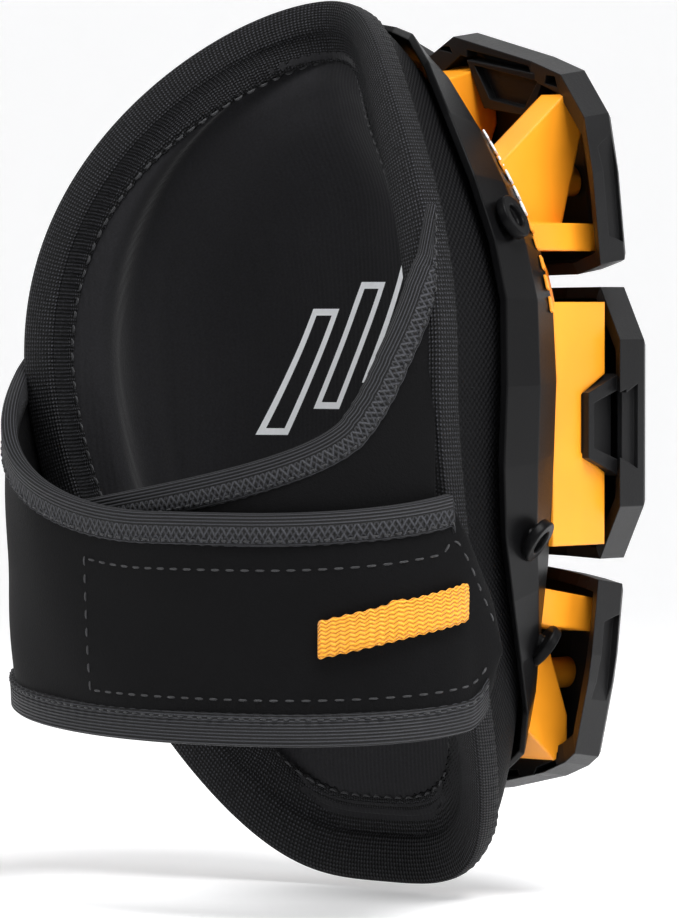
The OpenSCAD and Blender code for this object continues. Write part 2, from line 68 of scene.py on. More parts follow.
class PadSizes(bpy.types.PropertyGroup):
    """Sizes of the pieces that the eye sees, in metres."""

    roll: FloatProperty(name="Rim roll", description="How far the padded roll stands up inside the rim",
                        default=0.0034, unit="LENGTH")
    rim_edge: FloatProperty(name="Rim edge", description="Thickness of the padding where the tape binds it",
                            default=0.0095, unit="LENGTH")
    padding: FloatProperty(name="Padding", description="Thickness of cover, foam, gel and lining together",
                           default=0.016, unit="LENGTH")
    tape: FloatProperty(name="Tape width", description="Width of the elastic tape on the strap's edges",
                        default=0.0088, unit="LENGTH")
    stitch: FloatProperty(name="Stitch pitch", description="Distance from one stitch to the next",
                          default=0.0042, unit="LENGTH")
    loop_centre: FloatProperty(name="Loop centre", description="Middle of the strap's loop, front to back",
                               default=0.042, unit="LENGTH")
    edge_round: FloatProperty(name="Edge rounding", description="Rounding on the edges of moulded parts",
                              default=0.0007, unit="LENGTH")


class PadColours(bpy.types.PropertyGroup):
    """Colours as sRGB hex."""

    yellow: StringProperty(name="Shell yellow", description="Moulded shell", default="#EE9620")
    webbing: StringProperty(name="Webbing yellow", description="Pull tab", default="#F5A623")
    black: StringProperty(name="Fabric black", description="Lining, strap and wing", default="#0E0E10")
    cover: StringProperty(name="Cover black", description="Woven outer cover", default="#121214")
    rubber: StringProperty(name="Rubber black", description="Tread blocks", default="#141415")
    frame_black: StringProperty(name="Frame black", description="Carrier frame", default="#0C0C0D")
    print_white: StringProperty(name="Print white", description="Bars on the lining", default="#E9EBEE")


def sizes():
    return bpy.context.scene.pad_sizes


def colours():
    return bpy.context.scene.pad_colours


# ---- shapes -------------------------------------------------------------

def smooth(x, lo, hi):
    """A soft step: 0 below lo, 1 above hi, 3x^2 - 2x^3 between."""
    q = np.clip((x - lo) / (hi - lo), 0, 1)
    return q * q * (3 - 2 * q)


def bump(x, at, wide):
    """A bell: exp(-((x - at) / wide)^2)."""
    return np.exp(-((x - at) / wide) ** 2)


def rim(t):
    """The rim of the cup at angle t from its top: a rounded box, widest above the middle and drawn in
    to a narrow foot. From the side it reaches furthest back at the widest place and comes forward
    as a power of the cosine towards the top and the foot."""
    height = COVER_HI[2]
    mid = height * 0.6
    half, reach = COVER_HI[0], RIM_HI[1] - 1.7 * MM
    c, s = np.cos(t), np.sin(t)
    up = c > 0
    ac = np.abs(c)
    side = np.where(up, np.abs(s) ** 1.1, np.abs(s) ** 0.58 * (1 + 0.1 * c))
    shoulder = np.where(up, 8 * MM * np.abs(np.sin(2 * t)) ** 1.5, 0)
    x = np.sign(s) * (half * side - shoulder)
    z = mid + np.where(up, (height - mid) * ac ** 0.82, -mid * ac ** 0.9)
    top, foot = 5 * MM, -20 * MM
    y = shoulder + np.where(up, top + (reach - top) * (1 - ac ** 1.6),
                            foot + (reach - foot) * (1 - ac ** 1.55))
    return x, y, z


def fullness(t):
    """The power of the bowl's curve: full at the sides and the foot, flatter towards the top."""
    return 3 - np.clip(np.cos(t), 0, 1) ** 1.3


def cup(t, s, off):
    """The cup's face at angle t and share s of the way in from the rim, off metres in from its outer
    face: across, the rim shrinks as cos(s)^(2/p), and in depth it drops as sin(s)^(2/p), where p is the
    fullness."""
    x, y, z = rim(t)
    g = np.cos(np.pi / 2 * s) ** (2 / fullness(t))
    h = np.sin(np.pi / 2 * s) ** (2 / fullness(t))
    front = COVER_LO[1]
    mid = COVER_HI[2] * 0.6
    lean = 1 - off / COVER_HI[0]
    rise = 1 - 2 * off / COVER_HI[2]
    return np.stack([x * g * lean, y + (off + front - y) * h, mid + (z - mid) * g * rise], -1)


def skin(t, g, off):
    """A point set off from the cup's outer face along its normal, at angle t and share g of the rim."""
    x, y, z = rim(t)
    mid = COVER_HI[2] * 0.6
    z = z - mid
    reach = np.hypot(x, z)
    depth = y - COVER_LO[1]
    p = fullness(t)
    h = np.clip(1 - g ** p, 0, 1) ** (1 / p)
    across, ahead = g ** (p - 1) / reach, h ** (p - 1) / depth
    size = np.hypot(across, ahead)
    side = off * across / size
    return np.stack([x * g + side * x / reach, y - depth * h - off * ahead / size,
                     mid + z * g + side * z / reach], -1)


def lining_off(t, s):
    """How far in the lining's face lies: thin at the bound edge, a padded roll, a shallow valley, then
    the bowl, with a soft upright crease on the far side and slow waves."""
    z = sizes()
    rise = smooth(s, 0.0, 0.055)
    off = z.rim_edge + (z.padding - z.rim_edge) * rise
    off = off + z.roll * bump(s, 0.075, 0.05) - 1.4 * MM * bump(s, 0.2, 0.06)
    crease = bump(t, 1.72, 0.55) * bump(s, 0.3, 0.035)
    waves = np.sin(3 * t + 9 * s) * np.sin(5 * t - 4) * smooth(s, 0.05, 0.3) * (1 - smooth(s, 0.6, 0.95))
    return off - 1.2 * MM * crease + 0.35 * MM * waves


def patch(points, wrap_i=False, wrap_j=False, flip=False, uv=None):
    """Quads over a grid of points, with the grid's own lengths in millimetres as UV unless given."""
    ni, nj = points.shape[:2]
    i, j = np.meshgrid(np.arange(ni if wrap_i else ni - 1), np.arange(nj if wrap_j else nj - 1),
                       indexing="ij")
    i2, j2 = (i + 1) % ni, (j + 1) % nj
    quads = np.stack([i * nj + j, i2 * nj + j, i2 * nj + j2, i * nj + j2], -1).reshape(-1, 4)
    if uv is None:
        du = np.linalg.norm(np.roll(points, -1, 0) - points, axis=-1).max(axis=1)
        dv = np.linalg.norm(np.roll(points, -1, 1) - points, axis=-1).max(axis=0)
        u = np.concatenate([[0], np.cumsum(du)]) * 1000
        v = np.concatenate([[0], np.cumsum(dv)]) * 1000
        corner = np.stack([np.stack([u[i], v[j]], -1), np.stack([u[i + 1], v[j]], -1),
                           np.stack([u[i + 1], v[j + 1]], -1), np.stack([u[i], v[j + 1]], -1)], -2)
    else:
        corner = np.stack([uv[i, j], uv[i2, j], uv[i2, j2], uv[i, j2]], -2)
    corner = corner.reshape(-1, 4, 2)
    if flip:
        quads, corner = quads[:, ::-1], corner[:, ::-1]
    return points.reshape(-1, 3), quads, corner


def build(name, parts, ends=(), smooth_faces=True, outward=True):
    """One mesh from patches (points, faces, corner UVs) and extra end faces (part, ring, flip)."""
    verts, faces, uvs, start, starts = [], [], [], 0, []
    for points, quads, corner in parts:
        starts.append(start)
        verts.append(points)
        faces.extend((quads + start).tolist())
        uvs.append(corner.reshape(-1, 2))
        start += len(points)
    for part, ring, flip in ends:
        loop = [starts[part] + int(k) for k in ring]
        faces.append(loop[::-1] if flip else loop)
        uvs.append(np.zeros((len(loop), 2)))
    mesh = bpy.data.meshes.new(name)
    mesh.from_pydata(np.concatenate(verts).tolist(), [], faces)
    layer = mesh.uv_layers.new(name="UVMap")
    layer.data.foreach_set("uv", np.concatenate(uvs).astype(np.float32).ravel())
    mesh.polygons.foreach_set("use_smooth", np.full(len(mesh.polygons), smooth_faces))
    mesh.validate()
    obj = bpy.data.objects.new(name, mesh)
    bpy.context.scene.collection.objects.link(obj)
    if outward:
        work = bmesh.new()
        work.from_mesh(mesh)
        bmesh.ops.remove_doubles(work, verts=work.verts, dist=1e-6)
        bmesh.ops.recalc_face_normals(work, faces=work.faces)
        work.to_mesh(mesh)
        work.free()
    mesh.update()
    return obj


def lofted(name, sections):
    """A closed skin through a row of closed sections, with a flat face on each end."""
    count, n = sections.shape[:2]
    return build(name, [patch(sections, wrap_j=True)],
                 [(0, np.arange(n), False), (0, np.arange(n) + (count - 1) * n, True)])


BOX_FACES = np.array([[0, 1, 2, 3], [7, 6, 5, 4], [0, 4, 5, 1], [1, 5, 6, 2], [2, 6, 7, 3], [3, 7, 4, 0]])


def boxes(name, blocks):
    """One mesh of closed six-sided blocks, each given by four corners of one end, then of the other."""
    faces = np.concatenate([BOX_FACES + 8 * k for k in range(len(blocks))])
    return build(name, [(np.concatenate(blocks), faces, np.zeros((len(faces), 4, 2)))], smooth_faces=False)


def crown_pad(t, s):
    """The thick padding under the top of the rim: it stands back by 8 mm, then drops into the bowl."""
    return 8 * MM * np.clip(np.cos(t), 0, 1) ** 0.8 * smooth(s, 0.08, 0.34) * (1 - smooth(s, 0.42, 0.68))


def shell_of_cup(name, outer_off, inner_off, s_edge, rows=56, around=160, back_off=None):
    """A closed skin over the cup: its outer face from the pole to the edge, then its inner face back.
    back_off moves both faces straight back."""
    t = np.linspace(0, 2 * np.pi, around, endpoint=False)[:, None]
    s = s_edge + (0.993 - s_edge) * np.linspace(0, 1, rows)[None, :] ** 1.5
    t2, s2 = np.broadcast_arrays(t, s)
    out = cup(t2, s2, outer_off(t2, s2))[:, ::-1]
    back = cup(t2, s2, inner_off(t2, s2))
    if back_off is not None:
        out[..., 1] += back_off(t2, s2)[:, ::-1]
        back[..., 1] += back_off(t2, s2)
    points = np.concatenate([out, back], 1)
    n = points.shape[1]
    part = patch(points, wrap_i=True)
    ring = np.arange(around) * n
    return build(name, [part], [(0, ring, True), (0, ring + n - 1, False)])


def stitches(name, path, normal, pitch, length, radius, closed=False):
    """A row of thread stitches: each is a small four-sided lozenge laid along the path, its ends sunk.
    The path's length is measured, split by the pitch, and every stitch is placed at once."""
    p = np.concatenate([path, path[:1]]) if closed else path
    n = np.concatenate([normal, normal[:1]]) if closed else normal
    step = np.linalg.norm(np.diff(p, axis=0), axis=1)
    dist = np.concatenate([[0], np.cumsum(step)])
    count = max(2, int(dist[-1] / pitch))
    at = (np.arange(count) + 0.5) * dist[-1] / count

    def along(d, field):
        return np.stack([np.interp(d, dist, field[:, k]) for k in range(3)], -1)
    ends = [along(at + k * length / 2, p) for k in (-1, -0.55, 0, 0.55, 1)]
    nor = along(at, n)
    nor /= np.linalg.norm(nor, axis=1, keepdims=True)
    tangent = ends[4] - ends[0]
    tangent /= np.linalg.norm(tangent, axis=1, keepdims=True)
    side = np.cross(tangent, nor)
    girth = (0.35, 0.9, 1.0, 0.9, 0.35)
    lift = (-0.7, 0.1, 0.35, 0.1, -0.7)
    rings = [np.stack([e + radius * (nor * (lift[k] + np.sin(a) * girth[k]) + side * np.cos(a) * girth[k])
                       for a in np.arange(6) * np.pi / 3], 1) for k, e in enumerate(ends)]
    points = np.stack(rings, 1)
    i, j = np.meshgrid(np.arange(4), np.arange(6), indexing="ij")
    after = (j + 1) % 6
    quad = np.stack([i * 6 + j, i * 6 + after, (i + 1) * 6 + after, (i + 1) * 6 + j], -1).reshape(-1, 4)
    faces = (quad[None] + (np.arange(count) * 30)[:, None, None]).reshape(-1, 4)
    caps = [(0, start + np.arange(6), start % 30 == 0)
            for first in range(0, count * 30, 30) for start in (first, first + 24)]
    return build(name, [(points.reshape(-1, 3), faces, np.zeros((len(faces), 4, 2)))], caps)


def bevelled(obj, width, segments=3, angle=0.5):
    """Rounds the edges that turn by more than an angle in radians."""
    mod = obj.modifiers.new("Rounded edges", "BEVEL")
    mod.width = width
    mod.segments = segments
    mod.limit_method = "ANGLE"
    mod.angle_limit = angle
    mod.harden_normals = True
    return obj


def rounded_copy(name, node):
    """An object with a merged copy of a frame piece's mesh, flat areas joined, ready to be rounded."""
    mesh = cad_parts[node].data.copy()
    mesh.materials.clear()
    work = bmesh.new()
    work.from_mesh(mesh)
    bmesh.ops.remove_doubles(work, verts=work.verts, dist=2e-6)
    bmesh.ops.dissolve_limit(work, angle_limit=0.01, verts=work.verts, edges=work.edges)
    work.to_mesh(mesh)
    work.free()
    obj = bpy.data.objects.new(name, mesh)
    bpy.context.scene.collection.objects.link(obj)
    return obj


# ---- materials ----------------------------------------------------------

def linear(hexcode, value=1.0):
    """An sRGB hex colour as a linear RGBA, dimmed by value."""
    c = [int(hexcode.lstrip("#")[i:i + 2], 16) / 255 for i in (0, 2, 4)]
    return tuple(value * (x / 12.92 if x <= 0.04045 else ((x + 0.055) / 1.055) ** 2.4) for x in c) + (1.0,)


def plug(tree, node, inputs):
    """Puts a value or a link in each of a node's inputs, which are named or numbered."""
    for key, value in inputs.items():
        if isinstance(value, bpy.types.NodeSocket):
            tree.links.new(value, node.inputs[key])
        else:
            node.inputs[key].default_value = value


def add(tree, kind, inputs, out=0, **settings):
    """Adds a shader node with its settings and inputs, and gives back one of its outputs."""
    node = tree.nodes.new("ShaderNode" + kind)
    for key, value in settings.items():
        setattr(node, key, value)
    plug(tree, node, inputs)
    return node.outputs[out]


def material(name, **uniform):
    """A material with its uniform values on the shader's own sockets, where an underscore in a keyword
    stands for a space in the socket's name. Returns the material and its tree."""
    mat = bpy.data.materials.new(name)
    mat.use_nodes = True
    surface(mat.node_tree, {"Sheen Roughness": 0.45})
    surface(mat.node_tree, {key.replace("_", " "): value for key, value in uniform.items()})
    return mat, mat.node_tree


def surface(tree, inputs):
    """Sets or links inputs of the tree's shader."""
    plug(tree, tree.nodes["Principled BSDF"], inputs)


def on_cloth(tree):
    """Places on the piece's own UV map, whose unit is a millimetre along and across: u, v and both."""
    place = add(tree, "TexCoord", {}, "UV")
    return (add(tree, "SeparateXYZ", {0: place}, 0), add(tree, "SeparateXYZ", {0: place}, 1), place)


def in_space(tree):
    """Object coordinates in millimetres."""
    place = add(tree, "TexCoord", {}, "Object")
    return add(tree, "VectorMath", {0: place, "Scale": 1 / MM}, operation="SCALE")


def bar_print(tree, x, z):
    """Three outlined slanting bars: each is a parallelogram, and its line is where the distance to its
    edge is under twice the line's width. Returns 1 on the line and 0 off it."""
    line, slant, half_bar, step, drop = 1.0, 0.5, 4.8, 14.5, 8.0
    total = None
    for k in range(3):
        low, high = 148.0 - drop * k, 186.0 - drop * k
        slid = add(tree, "Math", {0: z, 1: slant, 2: x}, operation="MULTIPLY_ADD")
        across = add(tree, "Math", {0: slid, 1: -5.0 + step * k + 155 * slant}, operation="SUBTRACT")
        across = add(tree, "Math", {0: across}, operation="ABSOLUTE")
        from_side = add(tree, "Math", {0: half_bar, 1: across}, operation="SUBTRACT")
        along = add(tree, "Math", {0: z, 1: (high + low) / 2}, operation="SUBTRACT")
        along = add(tree, "Math", {0: along}, operation="ABSOLUTE")
        from_end = add(tree, "Math", {0: (high - low) / 2, 1: along}, operation="SUBTRACT")
        edge = add(tree, "Math", {0: from_side, 1: from_end}, operation="MINIMUM")
        inside = add(tree, "Math", {0: edge, 1: 0.0}, operation="GREATER_THAN")
        thin = add(tree, "Math", {0: edge, 1: line * 2}, operation="LESS_THAN")
        mark = add(tree, "Math", {0: inside, 1: thin}, operation="MULTIPLY")
        total = mark if total is None else add(tree, "Math", {0: total, 1: mark}, operation="MAXIMUM")
    return total


def knit_lining():
    """Polyester tricot over foam: matt black with a soft sheen, faint upright ribs 1.6 mm apart
    (drawn coarser than life so that they show) and a screen-printed motif."""
    black = colours().black
    mat, tree = material("Brushed polyester tricot lining", Sheen_Weight=0.09,
                         Specular_IOR_Level=0.22)
    place = in_space(tree)
    x, y, z = (add(tree, "SeparateXYZ", {0: place}, k) for k in range(3))
    ridge = add(tree, "Math", {0: x, 1: 2 * np.pi / 1.6}, operation="MULTIPLY")
    ridge = add(tree, "Math", {0: ridge}, operation="SINE")
    ridge = add(tree, "MapRange", {0: ridge, 1: -1.0, 2: 1.0, 3: 0.0, 4: 0.35})
    fuzz = add(tree, "TexNoise", {"Vector": place, "Scale": 1.5, "Detail": 4.0, "Roughness": 0.7})
    height = add(tree, "Math", {0: fuzz, 1: 0.75, 2: ridge}, operation="MULTIPLY_ADD")
    broad = add(tree, "TexNoise", {"Vector": place, "Scale": 0.035, "Detail": 3.0, "Roughness": 0.6})
    lint = add(tree, "MapRange", {0: fuzz, 1: 0.3, 2: 0.75})
    worn = add(tree, "MapRange", {0: broad, 1: 0.35, 2: 0.7, 4: 0.3})
    cloth = add(tree, "Mix", {0: lint, 6: linear(black, 1.0), 7: linear(black, 3.2)}, 2, data_type="RGBA")
    cloth = add(tree, "Mix", {0: worn, 6: cloth, 7: linear(black, 0.9)}, 2, data_type="RGBA")
    front = add(tree, "Math", {0: y, 1: 30.0}, operation="LESS_THAN")
    ink = add(tree, "Math", {0: bar_print(tree, x, z), 1: front}, operation="MULTIPLY")
    white = linear(colours().print_white)
    surface(tree, {
        "Base Color": add(tree, "Mix", {0: ink, 6: cloth, 7: white}, 2, data_type="RGBA"),
        "Roughness": add(tree, "MapRange", {0: ink, 3: 0.86, 4: 0.55}),
        "Normal": add(tree, "Bump", {"Height": height, "Strength": 0.8, "Distance": 0.22 * MM})})
    return mat


def crossing(tree, a, b, pitch):
    """Over and under threads: two wave patterns multiplied, so each is hidden where the other is on top."""
    phases = [add(tree, "Math", {0: way, 1: np.pi / pitch}, operation="MULTIPLY") for way in (a, b)]
    waves = [add(tree, "Math", {0: phase}, operation="SINE") for phase in phases]
    both = add(tree, "Math", {0: waves[0], 1: waves[1]}, operation="MULTIPLY")
    return add(tree, "MapRange", {0: both, 1: -1.0, 2: 1.0})


def ballistic_nylon():
    """Ballistic nylon: heavy plain weave, threads 1.1 mm apart, each a small satin highlight."""
    cover = colours().cover
    mat, tree = material("Woven ballistic nylon cover", Roughness=0.6, Specular_IOR_Level=0.08)
    u, v, place = on_cloth(tree)
    weave = crossing(tree, u, v, 1.1)
    fine = add(tree, "TexNoise", {"Vector": place, "Scale": 2.0, "Detail": 2.0, "Roughness": 0.6})
    height = add(tree, "Math", {0: fine, 1: 0.4, 2: weave}, operation="MULTIPLY_ADD")
    tone = add(tree, "MapRange", {0: weave, 1: 0.2, 2: 0.9})
    surface(tree, {
        "Base Color": add(tree, "Mix", {0: tone, 6: linear(cover, 0.3), 7: linear(cover)}, 2,
                          data_type="RGBA"),
        "Normal": add(tree, "Bump", {"Height": height, "Strength": 1.0, "Distance": 0.4 * MM})})
    return mat


def bound_tape():
    """Woven polyester binding tape: a diagonal twill of small yarn tips 1 mm apart, each tip's brightness a
    painted highlight on the black tape.
    """
    mat, tree = material("Woven polyester binding tape", Roughness=0.6, Sheen_Weight=0.01,
                         Specular_IOR_Level=0.14)
    u, v, place = on_cloth(tree)
    rising = add(tree, "Math", {0: u, 1: v}, operation="ADD")
    falling = add(tree, "Math", {0: u, 1: v}, operation="SUBTRACT")
    tips = crossing(tree, rising, falling, 1.25)
    fine = add(tree, "TexNoise", {"Vector": place, "Scale": 1.7, "Detail": 2.0, "Roughness": 0.6})
    height = add(tree, "Math", {0: fine, 1: 0.4, 2: tips}, operation="MULTIPLY_ADD")
    uneven = add(tree, "MapRange", {0: fine, 1: 0.3, 2: 0.7, 3: 0.6, 4: 1.2})
    # Painted highlight: the raised yarn tips are coloured lighter than the black tape between them, unevenly
    # along the tape.
    bright = add(tree, "Math", {0: tips, 1: uneven}, operation="MULTIPLY")
    bright = add(tree, "MapRange", {0: bright, 1: 0.55, 2: 1.0})
    dark = linear(colours().cover, 0.28)
    surface(tree, {
        "Base Color": add(tree, "Mix", {0: bright, 6: dark, 7: linear("#3E3F44")}, 2, data_type="RGBA"),
        "Normal": add(tree, "Bump", {"Height": height, "Strength": 1.0, "Distance": 0.45 * MM})})
    return mat


def elastic_tape():
    """Knitted elastic edging: zigzag cover threads 5 mm long across a ribbed tape."""
    mat, tree = material("Knitted elastic edging", Roughness=0.66, Sheen_Weight=0.02,
                         Specular_IOR_Level=0.24)
    u, v, place = on_cloth(tree)
    zigzag = add(tree, "Math", {0: u, 1: 1.9}, operation="PINGPONG")
    waves = []
    for slope, pitch, top in ((1.5, 2.9, 1.0), (-1.5, 2.9, 0.75), (0.0, 0.95, 1.0)):
        way = add(tree, "Math", {0: zigzag, 1: slope, 2: v}, operation="MULTIPLY_ADD")
        wave = add(tree, "Math", {0: way, 1: 2 * np.pi / pitch}, operation="MULTIPLY")
        wave = add(tree, "Math", {0: wave}, operation="SINE")
        waves.append(add(tree, "MapRange", {0: wave, 1: -1.0, 2: 1.0, 4: top}))
    chevrons = add(tree, "Math", {0: waves[0], 1: waves[1]}, operation="MAXIMUM")
    off_middle = add(tree, "Math", {0: v, 1: 3.9}, operation="SUBTRACT")
    off_middle = add(tree, "Math", {0: off_middle}, operation="ABSOLUTE")
    band = add(tree, "Math", {0: off_middle, 1: 2.3}, operation="LESS_THAN")
    face = add(tree, "Mix", {0: band, 2: waves[2], 3: chevrons})
    fine = add(tree, "TexNoise", {"Vector": place, "Scale": 1.8, "Detail": 2.0, "Roughness": 0.6})
    height = add(tree, "Math", {0: fine, 1: 0.35, 2: face}, operation="MULTIPLY_ADD")
    # Painted highlight and painted shade: the colour follows the threads' relief, lighter on the raised cover
    # threads and ribs and darker in the grooves.
    tone = add(tree, "Math", {0: fine, 1: 0.6, 2: face}, operation="MULTIPLY_ADD")
    tone = add(tree, "MapRange", {0: tone, 1: 0.7, 2: 1.5})
    dark = linear(colours().cover, 0.3)
    surface(tree, {
        "Base Color": add(tree, "Mix", {0: tone, 6: dark, 7: linear("#414247")}, 2, data_type="RGBA"),
        "Normal": add(tree, "Bump", {"Height": height, "Strength": 1.0, "Distance": 0.5 * MM})})
    return mat


def neoprene():
    """Neoprene faced with nylon jersey: deep matt black, very fine knit and a little lint."""
    black = colours().black
    mat, tree = material("Jersey-faced neoprene", Roughness=0.72, Sheen_Weight=0.01,
                         Specular_IOR_Level=0.08)
    place = in_space(tree)
    fine = add(tree, "TexNoise", {"Vector": place, "Scale": 1.3, "Detail": 4.0, "Roughness": 0.7})
    broad = add(tree, "TexNoise", {"Vector": place, "Scale": 0.04, "Detail": 3.0, "Roughness": 0.6})
    lint = add(tree, "MapRange", {0: fine, 1: 0.3, 2: 0.75})
    worn = add(tree, "MapRange", {0: broad, 1: 0.4, 2: 0.7, 4: 0.4})
    tone = add(tree, "Mix", {0: lint, 6: linear(black, 0.3), 7: linear(black, 0.78)}, 2, data_type="RGBA")
    surface(tree, {
        "Base Color": add(tree, "Mix", {0: worn, 6: tone, 7: linear(black, 0.25)}, 2, data_type="RGBA"),
        "Normal": add(tree, "Bump", {"Height": fine, "Strength": 0.8, "Distance": 0.22 * MM})})
    return mat


def thread(name, tint):
    """Bonded polyester thread: a thin satin twist, one turn every 0.35 mm."""
    mat, tree = material(name, Base_Color=linear(tint), Roughness=0.5, Sheen_Weight=0.1)
    slant = add(tree, "VectorMath", {0: in_space(tree), 1: (1.0, 1.0, 1.0)}, "Value", operation="DOT_PRODUCT")
    twist = add(tree, "Math", {0: slant, 1: 2 * np.pi / 0.35}, operation="MULTIPLY")
    twist = add(tree, "Math", {0: twist}, operation="SINE")
    twist = add(tree, "MapRange", {0: twist, 1: -1.0, 2: 1.0})
    surface(tree, {"Normal": add(tree, "Bump", {"Height": twist, "Strength": 0.7, "Distance": 0.1 * MM})})
    return mat


def moulded(name, tint, roughness, grain, depth, rounding=0.0006, light=1.12, dark=0.88, specular=0.5):
    """Injection-moulded plastic or rubber: a fine spark-eroded grain, slight mottling and rounded edges."""
    mat, tree = material(name, Specular_IOR_Level=specular)
    place = in_space(tree)
    fine = add(tree, "TexNoise", {"Vector": place, "Scale": grain, "Detail": 3.0, "Roughness": 0.6})
    broad = add(tree, "TexNoise", {"Vector": place, "Scale": 0.03, "Detail": 3.0, "Roughness": 0.5})
    soft = add(tree, "Bevel", {"Radius": rounding}, samples=6)
    mottle = add(tree, "MapRange", {0: broad, 1: 0.3, 2: 0.7})
    wear = add(tree, "Math", {0: fine, 1: broad}, operation="ADD")
    surface(tree, {
        "Base Color": add(tree, "Mix", {0: mottle, 6: linear(tint, dark), 7: linear(tint, light)}, 2,
                          data_type="RGBA"),
        "Roughness": add(tree, "MapRange", {0: wear, 1: 0.6, 2: 1.4, 3: roughness - 0.06,
                                            4: roughness + 0.06}),
        "Normal": add(tree, "Bump", {"Height": fine, "Strength": 0.6, "Distance": depth, "Normal": soft})})
    return mat


def webbing():
    """Knitted polyester webbing: rows of chevron loops 3 mm wide in bright yarn with shaded gaps."""
    yellow = colours().webbing
    mat, tree = material("Knitted polyester webbing", Roughness=0.62, Sheen_Weight=0.2,
                         Specular_IOR_Level=0.35)
    u, v, place = on_cloth(tree)
    zigzag = add(tree, "Math", {0: u, 1: 1.6}, operation="PINGPONG")
    row = add(tree, "Math", {0: zigzag, 1: 0.42, 2: v}, operation="MULTIPLY_ADD")
    row = add(tree, "Math", {0: row, 1: 2 * np.pi / 1.3}, operation="MULTIPLY")
    row = add(tree, "Math", {0: row}, operation="SINE")
    row = add(tree, "MapRange", {0: row, 1: -1.0, 2: 1.0})
    fine = add(tree, "TexNoise", {"Vector": place, "Scale": 1.6, "Detail": 3.0, "Roughness": 0.6})
    height = add(tree, "Math", {0: fine, 1: 0.4, 2: row}, operation="MULTIPLY_ADD")
    tone = add(tree, "MapRange", {0: height, 1: 0.15, 2: 0.8})
    surface(tree, {
        "Base Color": add(tree, "Mix", {0: tone, 6: linear("#B86A05"), 7: linear(yellow, 1.12)}, 2,
                          data_type="RGBA"),
        "Normal": add(tree, "Bump", {"Height": height, "Strength": 1.0, "Distance": 0.5 * MM})})
    return mat


def steel(name):
    """Zinc-plated steel, turned: fine rings and a cool grey."""
    mat, tree = material(name, Base_Color=linear("#A9ABAE"), Roughness=0.36, Metallic=1.0)
    rings = add(tree, "TexNoise", {"Vector": in_space(tree), "Scale": 2.5, "Detail": 3.0, "Roughness": 0.6})
    surface(tree, {"Normal": add(tree, "Bump", {"Height": rings, "Strength": 0.5, "Distance": 0.05 * MM})})
    return mat


def celled(name, tint, roughness, per_mm, depth, strength, sheen=0.0):
    """A face of tiny cells: the open pores of closed-cell foam, or the nylon hooks of a fastener."""
    mat, tree = material(name, Base_Color=linear(tint), Roughness=roughness, Sheen_Weight=sheen)
    cells = add(tree, "TexVoronoi", {"Vector": in_space(tree), "Scale": per_mm}, "Distance")
    surface(tree, {"Normal": add(tree, "Bump", {"Height": cells, "Strength": strength, "Distance": depth})})
    return mat


MADE = {}


def stuff(key, make):
    """A material that pieces share, made when it is first asked for."""
    if key not in MADE:
        MADE[key] = make()
    return MADE[key]


def finish_piece(obj, mat, body, nodes=()):
    """Gives a piece its material and body, and hides the frame pieces it stands for."""
    obj.data.materials.clear()
    obj.data.materials.append(mat)
    if nodes:
        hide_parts(*nodes)
    if body:
        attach(obj, body)
    return obj


def thread_piece(obj, body, tint):
    """Finishes a row of stitches."""
    mat = stuff("thread" + tint, lambda: thread("Bonded polyester thread", tint))
    return finish_piece(obj, mat, body)


# ---- the cup ------------------------------------------------------------

class KNEEPAD_OT_lining(bpy.types.Operator):
    """Builds the padded lining: a bound edge, a roll, a valley and a deep bowl."""
    bl_idname = "kneepad.lining"
    bl_label = "Padded lining"

    def execute(self, context):
        obj = shell_of_cup("inner_lining_padded", lambda t, s: lining_off(t, s) - 2.2 * MM, lining_off, 0.012,
                           rows=72, around=224, back_off=crown_pad)
        finish_piece(obj, stuff("lining", knit_lining), "pad", ("inner_lining",))
        under = lambda t, s: lining_off(t, s) - 2.8 * MM
        gel_in = lambda t, s: np.minimum(9.8 * MM, under(t, s) - 1.5 * MM)
        gel = shell_of_cup("gel_pad_moulded", gel_in, under, 0.28)
        mat = celled("Gel-filled foam", "#4E6F91", 0.9, 0.9, 0.3 * MM, 0.7)
        finish_piece(gel, mat, "pad", ("gel_pad",))
        core = shell_of_cup("foam_core_moulded", lambda t, s: 1.5 * MM + 0 * (t + s),
                            lambda t, s: gel_in(t, s) - 0.3 * MM, 0.035)
        mat = celled("Closed-cell EVA foam", "#3A3A3D", 0.9, 0.9, 0.3 * MM, 0.7)
        finish_piece(core, mat, "pad", ("foam_core",))
        return {"FINISHED"}


class KNEEPAD_OT_cover(bpy.types.Operator):
    """Builds the woven outer cover of the cup."""
    bl_idname = "kneepad.cover"
    bl_label = "Outer cover"

    def execute(self, context):
        slack = lambda t, s: -0.25 * MM * np.sin(7 * t) * np.sin(np.pi * np.clip(s * 3, 0, 1))
        obj = shell_of_cup("outer_cover_woven", slack, lambda t, s: slack(t, s) + 1.2 * MM, 0.012)
        finish_piece(obj, stuff("cover", ballistic_nylon), "pad", ("outer_cover",))
        return {"FINISHED"}


